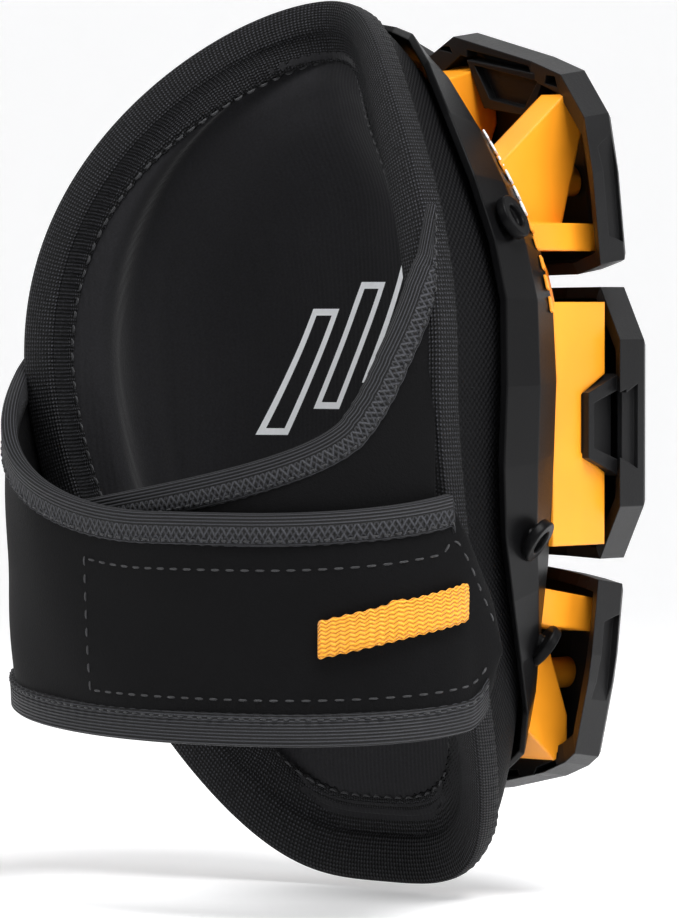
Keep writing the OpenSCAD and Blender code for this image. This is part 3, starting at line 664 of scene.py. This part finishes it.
class KNEEPAD_OT_rim_binding(bpy.types.Operator):
    """Builds the tape folded over the rim, puckered at every stitch, and its row of stitches."""
    bl_idname = "kneepad.rim_binding"
    bl_label = "Rim binding"

    def execute(self, context):
        z = sizes()
        around = 900
        t = np.linspace(0, 2 * np.pi, around, endpoint=False)
        depth = rim(t)[1] - COVER_LO[1]
        width = np.minimum(7.6 * MM, 0.34 * depth)
        s_leg = np.arcsin(np.clip((width / depth) ** (fullness(t) / 2), 0, 1)) * 2 / np.pi
        edge = lining_off(t, 0 * t + 0.0)
        base = cup(t, 0 * t, 0 * t)
        length = np.concatenate([[0], np.cumsum(np.linalg.norm(np.diff(base, axis=0), axis=1))])
        pucker = 0.3 * MM * np.sin(length / z.stitch * 2 * np.pi)
        rows = []
        for share in (1.0, 0.97, 0.6, 0.25, 0.0):
            lift = 1.3 * MM + (pucker * 0.5 if share > 0.5 else 0 * t) if share < 0.99 else 0.35 * MM + 0 * t
            rows.append(cup(t, s_leg * share, -lift))
        out_edge, in_edge = cup(t, 0 * t, -1.3 * MM + 0 * t), cup(t, 0 * t, edge + 1.0 * MM)
        middle, half = (out_edge + in_edge) / 2, (in_edge - out_edge) / 2
        for a in np.linspace(0, np.pi, 9)[1:-1]:
            rows.append(middle - half * np.cos(a) + np.array([0, 1.9 * MM, 0]) * np.sin(a) ** 0.8)
        for share in (0.0, 0.25, 0.6, 0.97, 1.0):
            s = s_leg * share
            lift = 0.9 * MM + (pucker if share > 0.5 else 0.3 * pucker) if share < 0.99 else -0.8 * MM
            rows.append(cup(t, s, lining_off(t, s) + lift))
        for share in (1.0, 0.3):
            rows.append(cup(t, s_leg * share, lining_off(t, s_leg * share) - 1.2 * MM))
        for share in (0.3, 1.0):
            rows.append(cup(t, s_leg * share, 0 * t + 0.3 * MM))
        points = np.stack(rows, 1)
        obj = build("rim_binding_tape", [patch(points, wrap_i=True, wrap_j=True)])
        finish_piece(obj, stuff("tape", bound_tape), "pad", ("rim_binding",))
        at = s_leg * 0.86
        path = cup(t, at, lining_off(t, at) + 1.05 * MM)
        normal = cup(t, at, lining_off(t, at) + 3 * MM) - path
        row = stitches("rim_binding_stitches", path, normal, z.stitch, z.stitch * 0.66, 0.42 * MM, True)
        thread_piece(row, "pad", "#1F2023")
        return {"FINISHED"}


# ---- strap, wing and pull tab --------------------------------------------

def loop_plan(u, a, b, lead):
    """The strap's plan: straight back from the far side (u 0 to 0.06), half an ellipse round the leg
    (to 0.90), then straight forward along the near side."""
    c = sizes().loop_centre
    th = np.clip((u - 0.06) / 0.84, 0, 1) * np.pi
    x = a * np.cos(th)
    y = c + b * np.sin(th)
    y = y - np.clip(0.06 - u, 0, 1) / 0.06 * lead - np.clip(u - 0.9, 0, 1) / 0.1 * 14 * MM
    return x, y


def strap_edges(u):
    """Lower and upper edge heights: the band is level behind the leg and sweeps up at the far root;
    the near end is cut away at a slant above and rounded below."""
    low = STRAP_LO[2] - 0.6 * MM + 15 * MM * np.abs((u - 0.58) / 0.58) ** 2.2
    low = low + 16 * MM * np.clip((u - 0.88) / 0.12, 0, 1) ** 3
    high = STRAP_LO[2] + 63.9 * MM + 60 * MM * np.clip((0.5 - u) / 0.5, 0, 1) ** 1.8
    high = high + 12.5 * MM * np.clip((u - 0.6) / 0.4, 0, 1) ** 2
    high = high - 40 * MM * np.clip((u - 0.862) / 0.138, 0, 1) ** 0.85
    high = high - 8 * MM * np.clip((u - 0.95) / 0.05, 0, 1) ** 4
    return low, high


def on_strap(u, w, off):
    """A point on the strap at u along it and share w of its height, off metres out of its outer face."""
    low, high = strap_edges(u)
    inset = 4 * MM * (1 - w) * np.clip(1 - u * 1.25, 0, 1)
    root = 2.2 * MM * np.clip((0.10 - u) / 0.10, 0, 1)
    a = 85 * MM + off - inset - root
    b = 50 * MM + off - inset
    x, y = loop_plan(u, a, b, 16 * MM)
    return np.stack([x, y, low + (high - low) * w], -1)


def strap_face(u, w):
    """Soft relief of the strap: full in the middle, pulled in along the sewn edges, slow ripples."""
    puff = 0.9 * MM * (1 - np.abs(2 * w - 1) ** 3.5)
    ripple = 0.5 * MM * np.sin(23 * u + 3 * w) * np.sin(3.1 * w + 9 * u)
    far = 0.8 * MM * np.sin(14 * w + 20 * u) * np.exp(-(u / 0.2) ** 2)
    return puff + ripple + far - 0.6 * MM


def edge_tape(place, w_in, w_out, thick, fabric, outer, ripple):
    """A tape folded over an edge: outer leg, round fold, inner leg, and back along the fabric."""
    rows = []
    for share in (0.0, 0.06, 0.5, 0.94):
        lift = thick + ripple * (share < 0.1) if share > 0.01 else ripple - 0.2 * MM
        rows.append(place(w_in + (w_out - w_in) * share, outer + lift))
    for a in np.linspace(0.15, np.pi - 0.15, 6):
        rows.append(place(w_out, outer + thick - (fabric + 2 * thick) * (1 - np.cos(a)) / 2,
                          np.sin(a) * 0.9 * MM))
    for share in (0.94, 0.5, 0.06, 0.0):
        lift = thick if share > 0.01 else -0.2 * MM
        rows.append(place(w_in + (w_out - w_in) * share, outer - fabric - lift))
    return np.stack(rows, 1)


class KNEEPAD_OT_strap(bpy.types.Operator):
    """Builds the closing strap with its two elastic tapes and the stitched panel."""
    bl_idname = "kneepad.strap"
    bl_label = "Closing strap"

    def execute(self, context):
        z = sizes()
        u = np.linspace(-0.02, 1, 360)[:, None]
        w = np.linspace(0.012, 0.988, 44)[None, :]
        u2, w2 = np.broadcast_arrays(u, w)
        out = on_strap(u2, w2, strap_face(u2, w2))
        back = on_strap(u2, w2, -3 * MM + 0.25 * strap_face(u2, w2))[:, ::-1]
        obj = lofted("strap_panel", np.concatenate([out, back], 1))
        made = [finish_piece(obj, stuff("neoprene", neoprene), None, ("strap",))]
        made += self.edging(z, "strap_top_edging", 1.0, 1, "strap_top_tape", 0.866)
        made += self.edging(z, "strap_bottom_edging", 0.0, -1, "strap_bottom_tape", 0.955)
        made += self.panel_seam(z)
        for piece in made:
            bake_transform(piece)
        return {"FINISHED"}

    def edging(self, z, name, w_out, sign, node, reach):
        """One elastic tape folded over an edge of the strap, and its row of stitches."""
        u1 = np.linspace(-0.02, reach, 1100)
        low, high = strap_edges(u1)
        span = high - low
        line = on_strap(u1, 0.5 + 0 * u1, 0 * u1)
        length = np.concatenate([[0], np.cumsum(np.linalg.norm(np.diff(line, axis=0), axis=1))])
        ripple = 0.25 * MM * np.sin(length / z.stitch * 2 * np.pi)
        w_in = w_out - sign * z.tape / span

        def place(w_at, off, beyond=0.0):
            p = on_strap(u1, w_at, off)
            p[:, 2] += sign * beyond
            return p
        sections = edge_tape(place, w_in, w_out - sign * 0.2 * MM / span, 0.85 * MM, 3 * MM,
                             -0.05 * MM + 0 * u1, ripple)
        tape = lofted(name, sections[:, ::sign])
        finish_piece(tape, stuff("elastic", elastic_tape), None, (node,))
        at = w_out - sign * (z.tape * 0.82) / span
        path = on_strap(u1, at, 0.85 * MM + 0 * u1)
        normal = on_strap(u1, at, 3 * MM + 0 * u1) - path
        row = stitches(name + "_stitches", path, normal, z.stitch * 0.8, z.stitch * 0.5, 0.3 * MM)
        return [tape, thread_piece(row, None, "#1C1D20")]

    def panel_seam(self, z):
        """The seam of the sewn hook panel: up its far end, along its top and its bottom edge."""
        left, corner, tip = 0.425, 0.845, 0.975

        def above(u, gap):
            low, high = strap_edges(u)
            return gap / (high - low)
        up = np.linspace(0, 1, 120)
        top, end = np.linspace(left, corner, 400), np.linspace(corner, tip, 90)
        bottom = np.linspace(left + 0.005, 0.955, 400)
        runs = [(left + 0.003 - 0.006 * up, 0.17 + 0.62 * up),
                (top, 1 - above(top, 15.5 * MM)),
                (end, 1 - above(end, 8.0 * MM + 7.5 * MM * smooth(-end, -0.88, -corner))),
                (bottom, above(bottom, 12.5 * MM))]
        pieces = []
        for i, (u, w) in enumerate(runs):
            path = on_strap(u, w, strap_face(u, w) - 0.05 * MM)
            normal = on_strap(u, w, strap_face(u, w) + 2 * MM) - path
            row = stitches("strap_panel_seam_%d" % (i + 1), path, normal, 4.6 * MM, 3.3 * MM, 0.36 * MM)
            pieces.append(thread_piece(row, None, "#1D1E21"))
        return pieces


def wing_edges(v):
    """The wing's edges: its top falls steeply from the root, then runs out level; its foot is level."""
    high = np.where(v < 0.2, 190 - 42 * (np.clip(v, 0, 1) / 0.2) ** 0.8,
                    148 - 34 * np.clip((v - 0.2) / 0.8, 0, 1) ** 0.45) * MM
    low = (62 + 6 * np.clip(v, 0, 1) ** 2) * MM
    return low, high


class KNEEPAD_OT_wing(bpy.types.Operator):
    """Builds the inner wing and its elastic edging, carried forward to the near rim."""
    bl_idname = "kneepad.wing"
    bl_label = "Inner wing"

    def execute(self, context):
        z = sizes()

        def at(v, height, off):
            """A point on the wing at v along it and at a height, off metres out of its outer face."""
            th = np.pi - np.radians(14 + 96 * v)
            a, b = 79.8 * MM + off, 44.8 * MM + off
            return np.stack([a * np.cos(th), z.loop_centre + b * np.sin(th), height], -1)

        def blended(v):
            """The edges, averaged over a short stretch, and raised a little at the root."""
            near = (-0.05, -0.025, 0, 0.025, 0.05)
            low, high = np.mean([wing_edges(np.clip(v + d, 0, 1)) for d in near], 0)
            return low, high + 10 * MM * np.clip(-v / 0.04, 0, 1)
        v = np.linspace(-0.04, 1, 220)
        lo, hi = blended(v)
        made = []
        w = np.linspace(0, 0.985, 30)[None, :]
        h = lo[:, None] + (hi - lo)[:, None] * w
        v2 = np.broadcast_to(v[:, None], h.shape)
        puff = 0.6 * MM * (1 - np.abs(2 * w - 1) ** 4) + 0.3 * MM * np.sin(11 * v2 + 5 * w)
        faces = [at(v2, h, puff - 0.3 * MM), at(v2, h, -2.4 * MM - 0.3 * puff)[:, ::-1]]
        obj = lofted("wing_panel", np.concatenate(faces, 1))
        made.append(finish_piece(obj, stuff("neoprene", neoprene), None, ("wing",)))
        v1 = np.linspace(-0.04, 0.999, 900)
        hi1 = blended(v1)[1]
        line = at(v1, hi1, 0 * v1)
        run = np.concatenate([[0], np.cumsum(np.hypot(*np.diff(line[:, :2], axis=0).T))])
        ds, dh = np.gradient(run), np.gradient(hi1)
        kernel = np.ones(61) / 61
        ds, dh = (np.convolve(np.pad(q, 30, mode="edge"), kernel, mode="valid") for q in (ds, dh))
        size = np.hypot(ds, dh)

        def place(down, off, beyond=0.0):
            """A point set in from the edge at a right angle to it, along the wing's face."""
            d = down - beyond
            return at(np.interp(run + dh / size * d, run, v1), hi1 - ds / size * d, off)
        ripple = 0.2 * MM * np.sin(v1 * 240)
        tape = lofted("wing_edging", edge_tape(place, z.tape, 0.2 * MM, 0.85 * MM, 2.4 * MM,
                                               -0.1 * MM + 0 * v1, ripple))
        made.append(finish_piece(tape, stuff("elastic", elastic_tape), None, ("wing_tape",)))
        for name, off in (("wing_edging_stitches_out", 0.8 * MM), ("wing_edging_stitches_in", -3.3 * MM)):
            path = place(z.tape * 0.82, off + 0 * v1)
            normal = (at(v1, hi1, 3 * MM + 0 * v1) - line) * (1 if off > 0 else -1)
            row = stitches(name, path, normal, z.stitch * 0.8, z.stitch * 0.5, 0.3 * MM)
            made.append(thread_piece(row, None, "#1C1D20"))
        for piece in made:
            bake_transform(piece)
        return {"FINISHED"}


class KNEEPAD_OT_pull_tab(bpy.types.Operator):
    """Builds the pull tab: webbing folded double, with wavy edges and a small hump on its upper edge."""
    bl_idname = "kneepad.pull_tab"
    bl_label = "Pull tab"

    def execute(self, context):
        ni, nj = 180, 40
        k = np.linspace(0, 1, ni)[:, None]
        ang = np.linspace(0, 2 * np.pi, nj, endpoint=False)[None, :]
        half = 0.1
        u = 0.787 - half + 2 * half * k + 0 * ang
        across = np.sign(np.cos(ang)) * np.abs(np.cos(ang)) ** 0.35
        thick = np.sign(np.sin(ang)) * np.abs(np.sin(ang)) ** 0.55
        hump = 0.9 * MM * np.exp(-((k - 0.44) / 0.05) ** 2) * (across > 0)
        wave = 0.22 * MM * np.sin(k * 2 * np.pi * 15)
        width = 5.3 * MM + wave + hump
        ends = np.clip(np.minimum(k, 1 - k) / 0.012, 0, 1) ** 0.5
        height = 82.6 * MM + 10.5 * MM * (k - 0.5) + 0.7 * MM * np.sin(np.pi * k)
        height = height + across * width * (0.9 + 0.1 * ends)
        rows = 0.12 * MM * np.sin(across * 5.3 / 1.3 * 2 * np.pi + 2.5 * np.abs((k * 50 / 3.2) % 1 - 0.5) * 2)
        rise = 1.3 * MM + 1.5 * MM * np.sin(np.pi * k) + 0.35 * MM * np.sin(k * 9)
        off = rise + thick * (1.0 * MM) * (0.35 + 0.65 * ends) + rows * (thick > 0.3)
        base = on_strap(u, 0.5 + 0 * u, off)
        obj = lofted("pull_tab_webbing", np.stack([base[..., 0], base[..., 1], height + 0 * u], -1))
        finish_piece(obj, stuff("webbing", webbing), "tab", ("pull_tab",))
        return {"FINISHED"}


# ---- moulded parts --------------------------------------------------------

# Corners of the frame's far half: degrees from its top, then shares of the rim's distance at its front
# and at its rear edge.
FRAME_CORNERS = np.array([
    [0, 0.80, 0.925], [14, 0.79, 0.925], [27, 0.785, 0.955], [40, 0.785, 0.975], [54, 0.79, 0.986],
    [66, 0.80, 0.988], [76, 0.80, 0.988], [84, 0.80, 0.988], [92, 0.80, 0.99], [99, 0.80, 0.992],
    [106, 0.80, 0.992], [113, 0.79, 0.988], [121, 0.78, 0.98], [130, 0.76, 0.96], [141, 0.74, 0.92],
    [158, 0.72, 0.86], [180, 0.71, 0.82]])


def frame_ring(shares, off):
    """A ring of the frame's corners at given shares of the rim's distance, mirrored to the near side."""
    t = np.radians(FRAME_CORNERS[:, 0])
    half = skin(t, shares, off + 0 * t)
    other = half[-2:0:-1] * np.array([-1, 1, 1])
    return np.concatenate([half, other])


class KNEEPAD_OT_carrier_frame(bpy.types.Operator):
    """Builds the carrier frame: a faceted band with a raised crease, a front lip and rounded edges,
    and the generic ticks moulded on its front edge."""
    bl_idname = "kneepad.carrier_frame"
    bl_label = "Carrier frame"

    def execute(self, context):
        front, rear = FRAME_CORNERS[:, 1], FRAME_CORNERS[:, 2]
        p = fullness(np.radians(FRAME_CORNERS[:, 0]))
        depth = lambda g: (1 - g ** p) ** (1 / p)
        between = lambda k: (1 - ((1 - k) * depth(front) + k * depth(rear)) ** p) ** (1 / p)
        inner, outer = 3.0 * MM, 5.6 * MM
        rings = [frame_ring(rear, outer), frame_ring(between(0.55), outer + 0.6 * MM),
                 frame_ring(between(0.16), outer + 0.9 * MM), frame_ring(between(0.12), outer + 0.3 * MM),
                 frame_ring(front, outer + 0.2 * MM), frame_ring(front, inner),
                 frame_ring(between(0.5), inner), frame_ring(rear, inner)]
        obj = build("carrier_frame_moulded", [patch(np.stack(rings, 1), wrap_i=True, wrap_j=True)],
                    smooth_faces=False)
        bevelled(obj, sizes().edge_round, 3, 0.12)
        c = colours()
        mat = moulded("Injection-moulded nylon frame", c.frame_black, 0.36, 1.6, 0.05 * MM, specular=0.06)
        finish_piece(obj, mat, "pad", ("carrier_frame",))
        rivets = bevelled(rounded_copy("shell_rivets_moulded", "shell_rivets"), 0.6 * MM, 3, 0.6)
        finish_piece(rivets, mat, "pad", ("shell_rivets",))
        self.ticks(c, outer)
        return {"FINISHED"}

    def ticks(self, c, outer):
        """Plain raised dashes along the frame's front edge, light above and yellow below."""
        pitch, long, wide, thick = 3.1, 2.1, 0.022, 0.7 * MM
        lift = outer + 0.35 * MM
        for name, tint, numbers in (("light", "#D9DADC", range(6)), ("yellow", c.yellow, range(6, 11))):
            blocks = []
            for side in (-1, 1):
                for k in numbers:
                    near, far = np.radians(52 + pitch * k), np.radians(52 + long + pitch * k)
                    g = 0.868 + 0.004 * (k % 2)
                    corners = [(near, g), (far, g), (far, g + wide), (near, g + wide)]
                    blocks.append(np.array([skin(t, s, off) * np.array([side, 1, 1])
                                            for off in (lift, lift + thick) for t, s in corners]))
            obj = bevelled(boxes("frame_dashes_" + name, blocks), 0.2 * MM, 2)
            mat = moulded("Pad-printed dashes " + name, tint, 0.5, 2.0, 0.03 * MM, rounding=0.2 * MM)
            finish_piece(obj, mat, "pad")


class KNEEPAD_OT_front_shell(bpy.types.Operator):
    """Builds the moulded front shell with its saddles and struts, edges rounded."""
    bl_idname = "kneepad.front_shell"
    bl_label = "Front shell"

    def execute(self, context):
        obj = bevelled(rounded_copy("front_shell_moulded", "front_shell"), 0.6 * MM, 2, 0.45)
        mat = moulded("Injection-moulded ABS shell", colours().yellow, 0.36, 1.4, 0.04 * MM,
                      rounding=1.2 * MM, light=1.1, dark=0.93)
        finish_piece(obj, mat, "pad", ("front_shell",))
        return {"FINISHED"}


# Half outlines of the blocks in millimetres: distance from the middle, lower edge and upper edge.
MIDDLE = [(3, 97, 176), (30, 96.6, 176.2), (44, 96.3, 176.4), (60, 96, 176.5), (75, 112, 161)]
UPPER = [(3, 180, 248), (14, 180.6, 254), (44, 182, 246), (58, 182.8, 242), (72, 186.1, 230), (75, 187, 214)]
LOWER = [(3, 28, 92), (14, 24, 92.5), (28, 25.5, 93), (50, 30, 90.5), (60, 33.3, 89), (66, 36, 88),
         (72, 57, 87.1), (73, 65, 87)]


class KNEEPAD_OT_treads(bpy.types.Operator):
    """Builds the six tread blocks: faceted caps with a rim wall, pockets cut in it and inner lugs."""
    bl_idname = "kneepad.treads"
    bl_label = "Tread blocks"

    def execute(self, context):
        mat = moulded("Moulded carbon-black rubber", colours().rubber, 0.42, 1.2, 0.08 * MM,
                      rounding=0.5 * MM, specular=0.2)
        for row, outline, lean in (("middle", MIDDLE, 0), ("upper", UPPER, 1), ("lower", LOWER, -1)):
            for side, hand in ((1, "right"), (-1, "left")):
                name = "tread_%s_%s" % (row, hand)
                obj = self.block(name + "_rubber", np.array(outline, float) * MM, lean, side)
                bevelled(obj, sizes().edge_round, 3, 0.35)
                finish_piece(obj, mat, "pad", (name,))
        return {"FINISHED"}

    def front(self, x):
        """The front of the block in plan: flat, then bent back in two facets towards its side."""
        f = -TREAD_LO[1]
        return -np.interp(x, [3 * MM, 44 * MM, 62 * MM, 75 * MM], [f, f - 2 * MM, f - 7 * MM, f - 16 * MM])

    def leaned(self, p, lean):
        """Tilts a block back about the edge next to the middle row."""
        f = TREAD_LO[1]
        edge = 180 * MM if lean > 0 else 92 * MM
        a = np.radians(-8 * lean)
        y, z = p[..., 1] - f, p[..., 2] - edge
        out = p.copy()
        out[..., 1] = y * np.cos(a) - z * np.sin(a) + f + (8.5 * MM if lean else 0)
        out[..., 2] = y * np.sin(a) + z * np.cos(a) + edge
        return out

    def block(self, name, outline, lean, side):
        """Rings round the outline, each set in and set back, closed by strips between its lower and
        upper edge; then the wall's pockets and the lug are cut and joined."""
        x, lo, hi = outline.T
        wall, thick_wall, depth, face, bevel = 3.4 * MM, 5.6 * MM, 13 * MM, 4 * MM, 1.6 * MM
        wall_lo, wall_hi = (thick_wall if lean < 0 else wall), (thick_wall if lean > 0 else wall)

        def ring(inset_side, inset_lo, inset_hi, back):
            k = (x - x[0]) / (x[-1] - x[0])
            xs = x[0] + inset_side + k * (x[-1] - x[0] - 2 * inset_side)
            y = self.front(xs) + back
            bottom = np.stack([xs, y, lo + inset_lo], -1)
            top = np.stack([xs, y, hi - inset_hi], -1)
            return np.concatenate([bottom, top[::-1]])
        rings = np.stack([ring(bevel, bevel, bevel, 0), ring(0, 0, 0, bevel), ring(0, 0, 0, depth),
                          ring(wall, wall_lo, wall_hi, depth), ring(wall, wall_lo, wall_hi, face)], 0)
        m = 2 * len(x)
        part = patch(rings, wrap_j=True)
        strips = [(0, [r * m + i, r * m + i + 1, r * m + m - 2 - i, r * m + m - 1 - i], r == 4)
                  for r in (0, 4) for i in range(len(x) - 1)]
        obj = build(name, [part], strips, smooth_faces=False)
        self.boolean(obj, self.pockets(lean), "DIFFERENCE")
        for outer, hole in self.lugs(lean):
            self.boolean(obj, [outer], "UNION")
            self.boolean(obj, [hole], "DIFFERENCE")
        mesh = obj.data
        co = np.empty(len(mesh.vertices) * 3)
        mesh.vertices.foreach_get("co", co)
        co = co.reshape(-1, 3)
        if lean:
            co = self.leaned(co, lean)
        co = co * np.array([side, 1, 1])
        mesh.vertices.foreach_set("co", co.ravel())
        if side < 0:
            mesh.flip_normals()
        mesh.update()
        return obj

    def box_between(self, a, b):
        """The corners of a block between two four-cornered faces given in millimetres."""
        return np.array(a + b, float) * MM

    def pockets(self, lean):
        """Trapezoid pockets in the outer side wall and in the rear end of the outer wall."""
        f = TREAD_LO[1] / MM
        pocket = {0: (123, 148, 20.5, 73.4), 1: (192, 224, 17, 73.2), -1: (45, 78, 16, 70.6)}
        low, high, back, deep = pocket[lean]
        long = 6.5 if lean == 0 else 7
        face = lambda x: [[x, f + back, low], [x, f + back + long, low + 3], [x, f + back + long, high - 3],
                          [x, f + back, high]]
        out = [self.box_between(face(deep), face(80))]
        rear = []
        if lean > 0:
            for x0, x1, z0, z1 in ((8, 13, 250.4, 252.4), (18, 44, 243.5, 251.2), (50, 56, 239.6, 243)):
                rear.append([(x0, z0 - 0.2), (x1, z0 - 0.8 - 2.4 * (x1 - x0) / 26),
                             (x1 - 1, z1 - 7.6 * (x1 - x0) / 30), (x0 + 1, z1 - 1.2)])
        elif lean < 0:
            for x0, x1, up in ((16, 40, 0.0), (46, 56, 2.6)):
                rear.append([(x0, 26.6 + up), (x1, 28.6 + up * 1.4), (x1 - 1, 30.4 + up * 1.4),
                             (x0 + 1, 28.9 + up)])
        return out + [self.box_between(*([[x, f + y, z] for x, z in corners] for y in (9, 22)))
                      for corners in rear]

    def lugs(self, lean):
        """Hollow trapezoid lugs that reach in from the wall, each a block and the hole in it: in the
        side of the middle blocks and under the top wall of the upper ones."""
        f = TREAD_LO[1] / MM
        if lean == 0:
            face = lambda x, wide, narrow, back: [[x, f + 26, 136 - wide], [x, f + back, 136 - narrow],
                                                  [x, f + back, 136 + narrow], [x, f + 26, 136 + wide]]
            return [(self.box_between(face(67.5, 15, 9.5, 40.5), face(72.5, 15, 9.5, 40.5)),
                     self.box_between(face(69.2, 10.5, 6.5, 38.0), face(78, 10.5, 6.5, 38.0)))]
        if lean > 0:
            face = lambda y, s: [[20 + s, y, 247 - 0.6 * s], [25 + s, y, 232.5 + s], [43 - s, y, 229.5 + s],
                                 [49 - s, y, 241.5 - 0.6 * s]]
            return [(self.box_between(face(f + 10, 0), face(f + 15.5, 0)),
                     self.box_between(face(f + 12.5, 2.6), face(f + 20, 2.6)))]
        return []

    def boolean(self, obj, blocks, kind):
        """Cuts or joins closed blocks, with exact arithmetic, and keeps the result."""
        tool = boxes("cutting_block", blocks)
        mod = obj.modifiers.new("Cut", "BOOLEAN")
        mod.operation = kind
        mod.solver = "EXACT"
        mod.object = tool
        depth = bpy.context.evaluated_depsgraph_get()
        fresh = bpy.data.meshes.new_from_object(obj.evaluated_get(depth))
        obj.modifiers.remove(mod)
        old = obj.data
        obj.data = fresh
        bpy.data.meshes.remove(old)
        bpy.data.objects.remove(tool)


class KNEEPAD_OT_hidden_parts(bpy.types.Operator):
    """Gives the pieces inside the pad their materials, and ends the screws inside the leaned blocks."""
    bl_idname = "kneepad.hidden_parts"
    bl_label = "Inner pieces"

    def execute(self, context):
        hooks = celled("Nylon hook and loop", "#151517", 0.75, 0.8, 0.6 * MM, 1.0, sheen=0.2)
        for node, mat in (("rivet_washers", steel("Zinc-plated steel washer")),
                          ("strap_hook_patch", hooks), ("wing_loop_patch", hooks)):
            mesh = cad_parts[node].data
            mesh.materials.clear()
            mesh.materials.append(mat)
        screws = rounded_copy("tread_screws_turned", "tread_screws")
        co = np.empty(len(screws.data.vertices) * 3)
        screws.data.vertices.foreach_get("co", co)
        co = co.reshape(-1, 3)
        middle, half_row, inside_face = 136 * MM, 30 * MM, -50 * MM
        leaned = np.abs(co[:, 2] - middle) > half_row
        co[:, 1] = np.where(leaned, np.maximum(co[:, 1], inside_face), co[:, 1])
        screws.data.vertices.foreach_set("co", co.ravel())
        finish_piece(screws, steel("Zinc-plated steel screw"), "pad", ("tread_screws",))
        return {"FINISHED"}


class KNEEPAD_OT_stage(bpy.types.Operator):
    """Builds the pale sweep, the soft lights and the camera."""
    bl_idname = "kneepad.stage"
    bl_label = "Stage"

    def execute(self, context):
        a = np.radians(221.0)
        back, across = np.array([np.sin(a), -np.cos(a)]), np.array([np.cos(a), np.sin(a)])
        bend, radius = np.linspace(0.1, np.pi / 2, 14), 0.9
        run = np.concatenate([np.linspace(2.5, -1.6, 12), -1.6 - radius * np.sin(bend), np.full(6, -2.5)])
        rise = np.concatenate([np.zeros(12), radius * (1 - np.cos(bend)), np.linspace(1.1, 3.5, 6)]) - 4 * MM
        wide = np.linspace(-4, 4, 9)
        flat = back * run[:, None, None] + across * wide[None, :, None]
        points = np.concatenate([flat, np.broadcast_to(rise[:, None, None], flat.shape[:2] + (1,))], -1)
        floor = build("studio_sweep", [patch(points, flip=True)], outward=False)
        mat, tree = material("Matt white paper sweep", Base_Color=linear("#F4F4F5"), Roughness=0.9,
                             Specular_IOR_Level=0.1, Emission_Color=(1.0, 1.0, 1.0, 1.0),
                             Emission_Strength=0.28)
        grain = add(tree, "TexNoise", {"Vector": add(tree, "TexCoord", {}, "Object"), "Scale": 300.0,
                                       "Detail": 3.0, "Roughness": 0.6})
        surface(tree, {"Normal": add(tree, "Bump", {"Height": grain, "Strength": 0.3, "Distance": 0.1 * MM})})
        floor.data.materials.append(mat)
        world = context.scene.world or bpy.data.worlds.new("Studio light")
        context.scene.world = world
        world.use_nodes = True
        world.node_tree.nodes["Background"].inputs[0].default_value = (1.0, 1.0, 1.0, 1.0)
        world.node_tree.nodes["Background"].inputs[1].default_value = 0.36
        middle = np.array([0, 0, 0.13])
        for name, az, el, dist, size, power in (("Top softbox", 250, 60, 1.3, 0.8, 25.0),
                                                ("Left softbox", 150, 30, 1.6, 0.9, 6.0),
                                                ("Right strip", 285, 20, 1.4, 0.6, 5.0)):
            data = bpy.data.lights.new(name, "AREA")
            data.shape = "DISK"
            data.size = size
            data.energy = power
            self.place(name, data, middle, az, el, dist)
        data = bpy.data.cameras.new("Camera")
        data.sensor_fit = "VERTICAL"
        data.sensor_height = 24
        distance, view_height = 1.7, 272.187 * MM
        data.lens = data.sensor_height * distance / view_height
        camera = self.place("Camera", data, np.array([0, 0, 0.1255]), 221.0, 1.5, distance)
        context.scene.camera = camera
        context.scene.view_settings.view_transform = "Standard"
        return {"FINISHED"}

    def place(self, name, data, target, azimuth, elevation, distance):
        """Puts a lamp or a camera a distance from its target, and turns its -Z towards it."""
        az, el = np.radians(azimuth), np.radians(elevation)
        z = np.array([np.sin(az) * np.cos(el), -np.cos(az) * np.cos(el), np.sin(el)])
        x = np.cross([0, 0, 1], z) / np.cos(el)
        y = np.cross(z, x)
        obj = bpy.data.objects.new(name, data)
        bpy.context.scene.collection.objects.link(obj)
        turned = np.eye(4)
        turned[:3] = np.stack([x, y, z, target + z * distance], 1)
        obj.matrix_world = Matrix(turned.tolist())
        return obj


OPERATORS = (KNEEPAD_OT_lining, KNEEPAD_OT_cover, KNEEPAD_OT_rim_binding, KNEEPAD_OT_strap, KNEEPAD_OT_wing,
             KNEEPAD_OT_pull_tab, KNEEPAD_OT_carrier_frame, KNEEPAD_OT_front_shell, KNEEPAD_OT_treads,
             KNEEPAD_OT_hidden_parts, KNEEPAD_OT_stage)


class KNEEPAD_PT_panel(bpy.types.Panel):
    """Lists the pad's pieces in the order they are built."""
    bl_label = "Knee Pad"
    bl_idname = "KNEEPAD_PT_panel"
    bl_space_type = "VIEW_3D"
    bl_region_type = "UI"
    bl_category = "Knee Pad"

    def draw(self, context):
        layout = self.layout
        for group in (context.scene.pad_sizes, context.scene.pad_colours):
            box = layout.box()
            for name in group.__annotations__:
                box.prop(group, name)
        for operator in OPERATORS:
            layout.operator(operator.bl_idname)


CLASSES = (PadSizes, PadColours) + OPERATORS + (KNEEPAD_PT_panel,)


def register():
    for cls in CLASSES:
        bpy.utils.register_class(cls)
    bpy.types.Scene.pad_sizes = PointerProperty(type=PadSizes)
    bpy.types.Scene.pad_colours = PointerProperty(type=PadColours)


def unregister():
    del bpy.types.Scene.pad_sizes
    del bpy.types.Scene.pad_colours
    for cls in reversed(CLASSES):
        bpy.utils.unregister_class(cls)


def main():
    register()
    for operator in OPERATORS:
        getattr(bpy.ops.kneepad, operator.bl_idname.split(".")[1])()


if __name__ == "__main__":
    main()
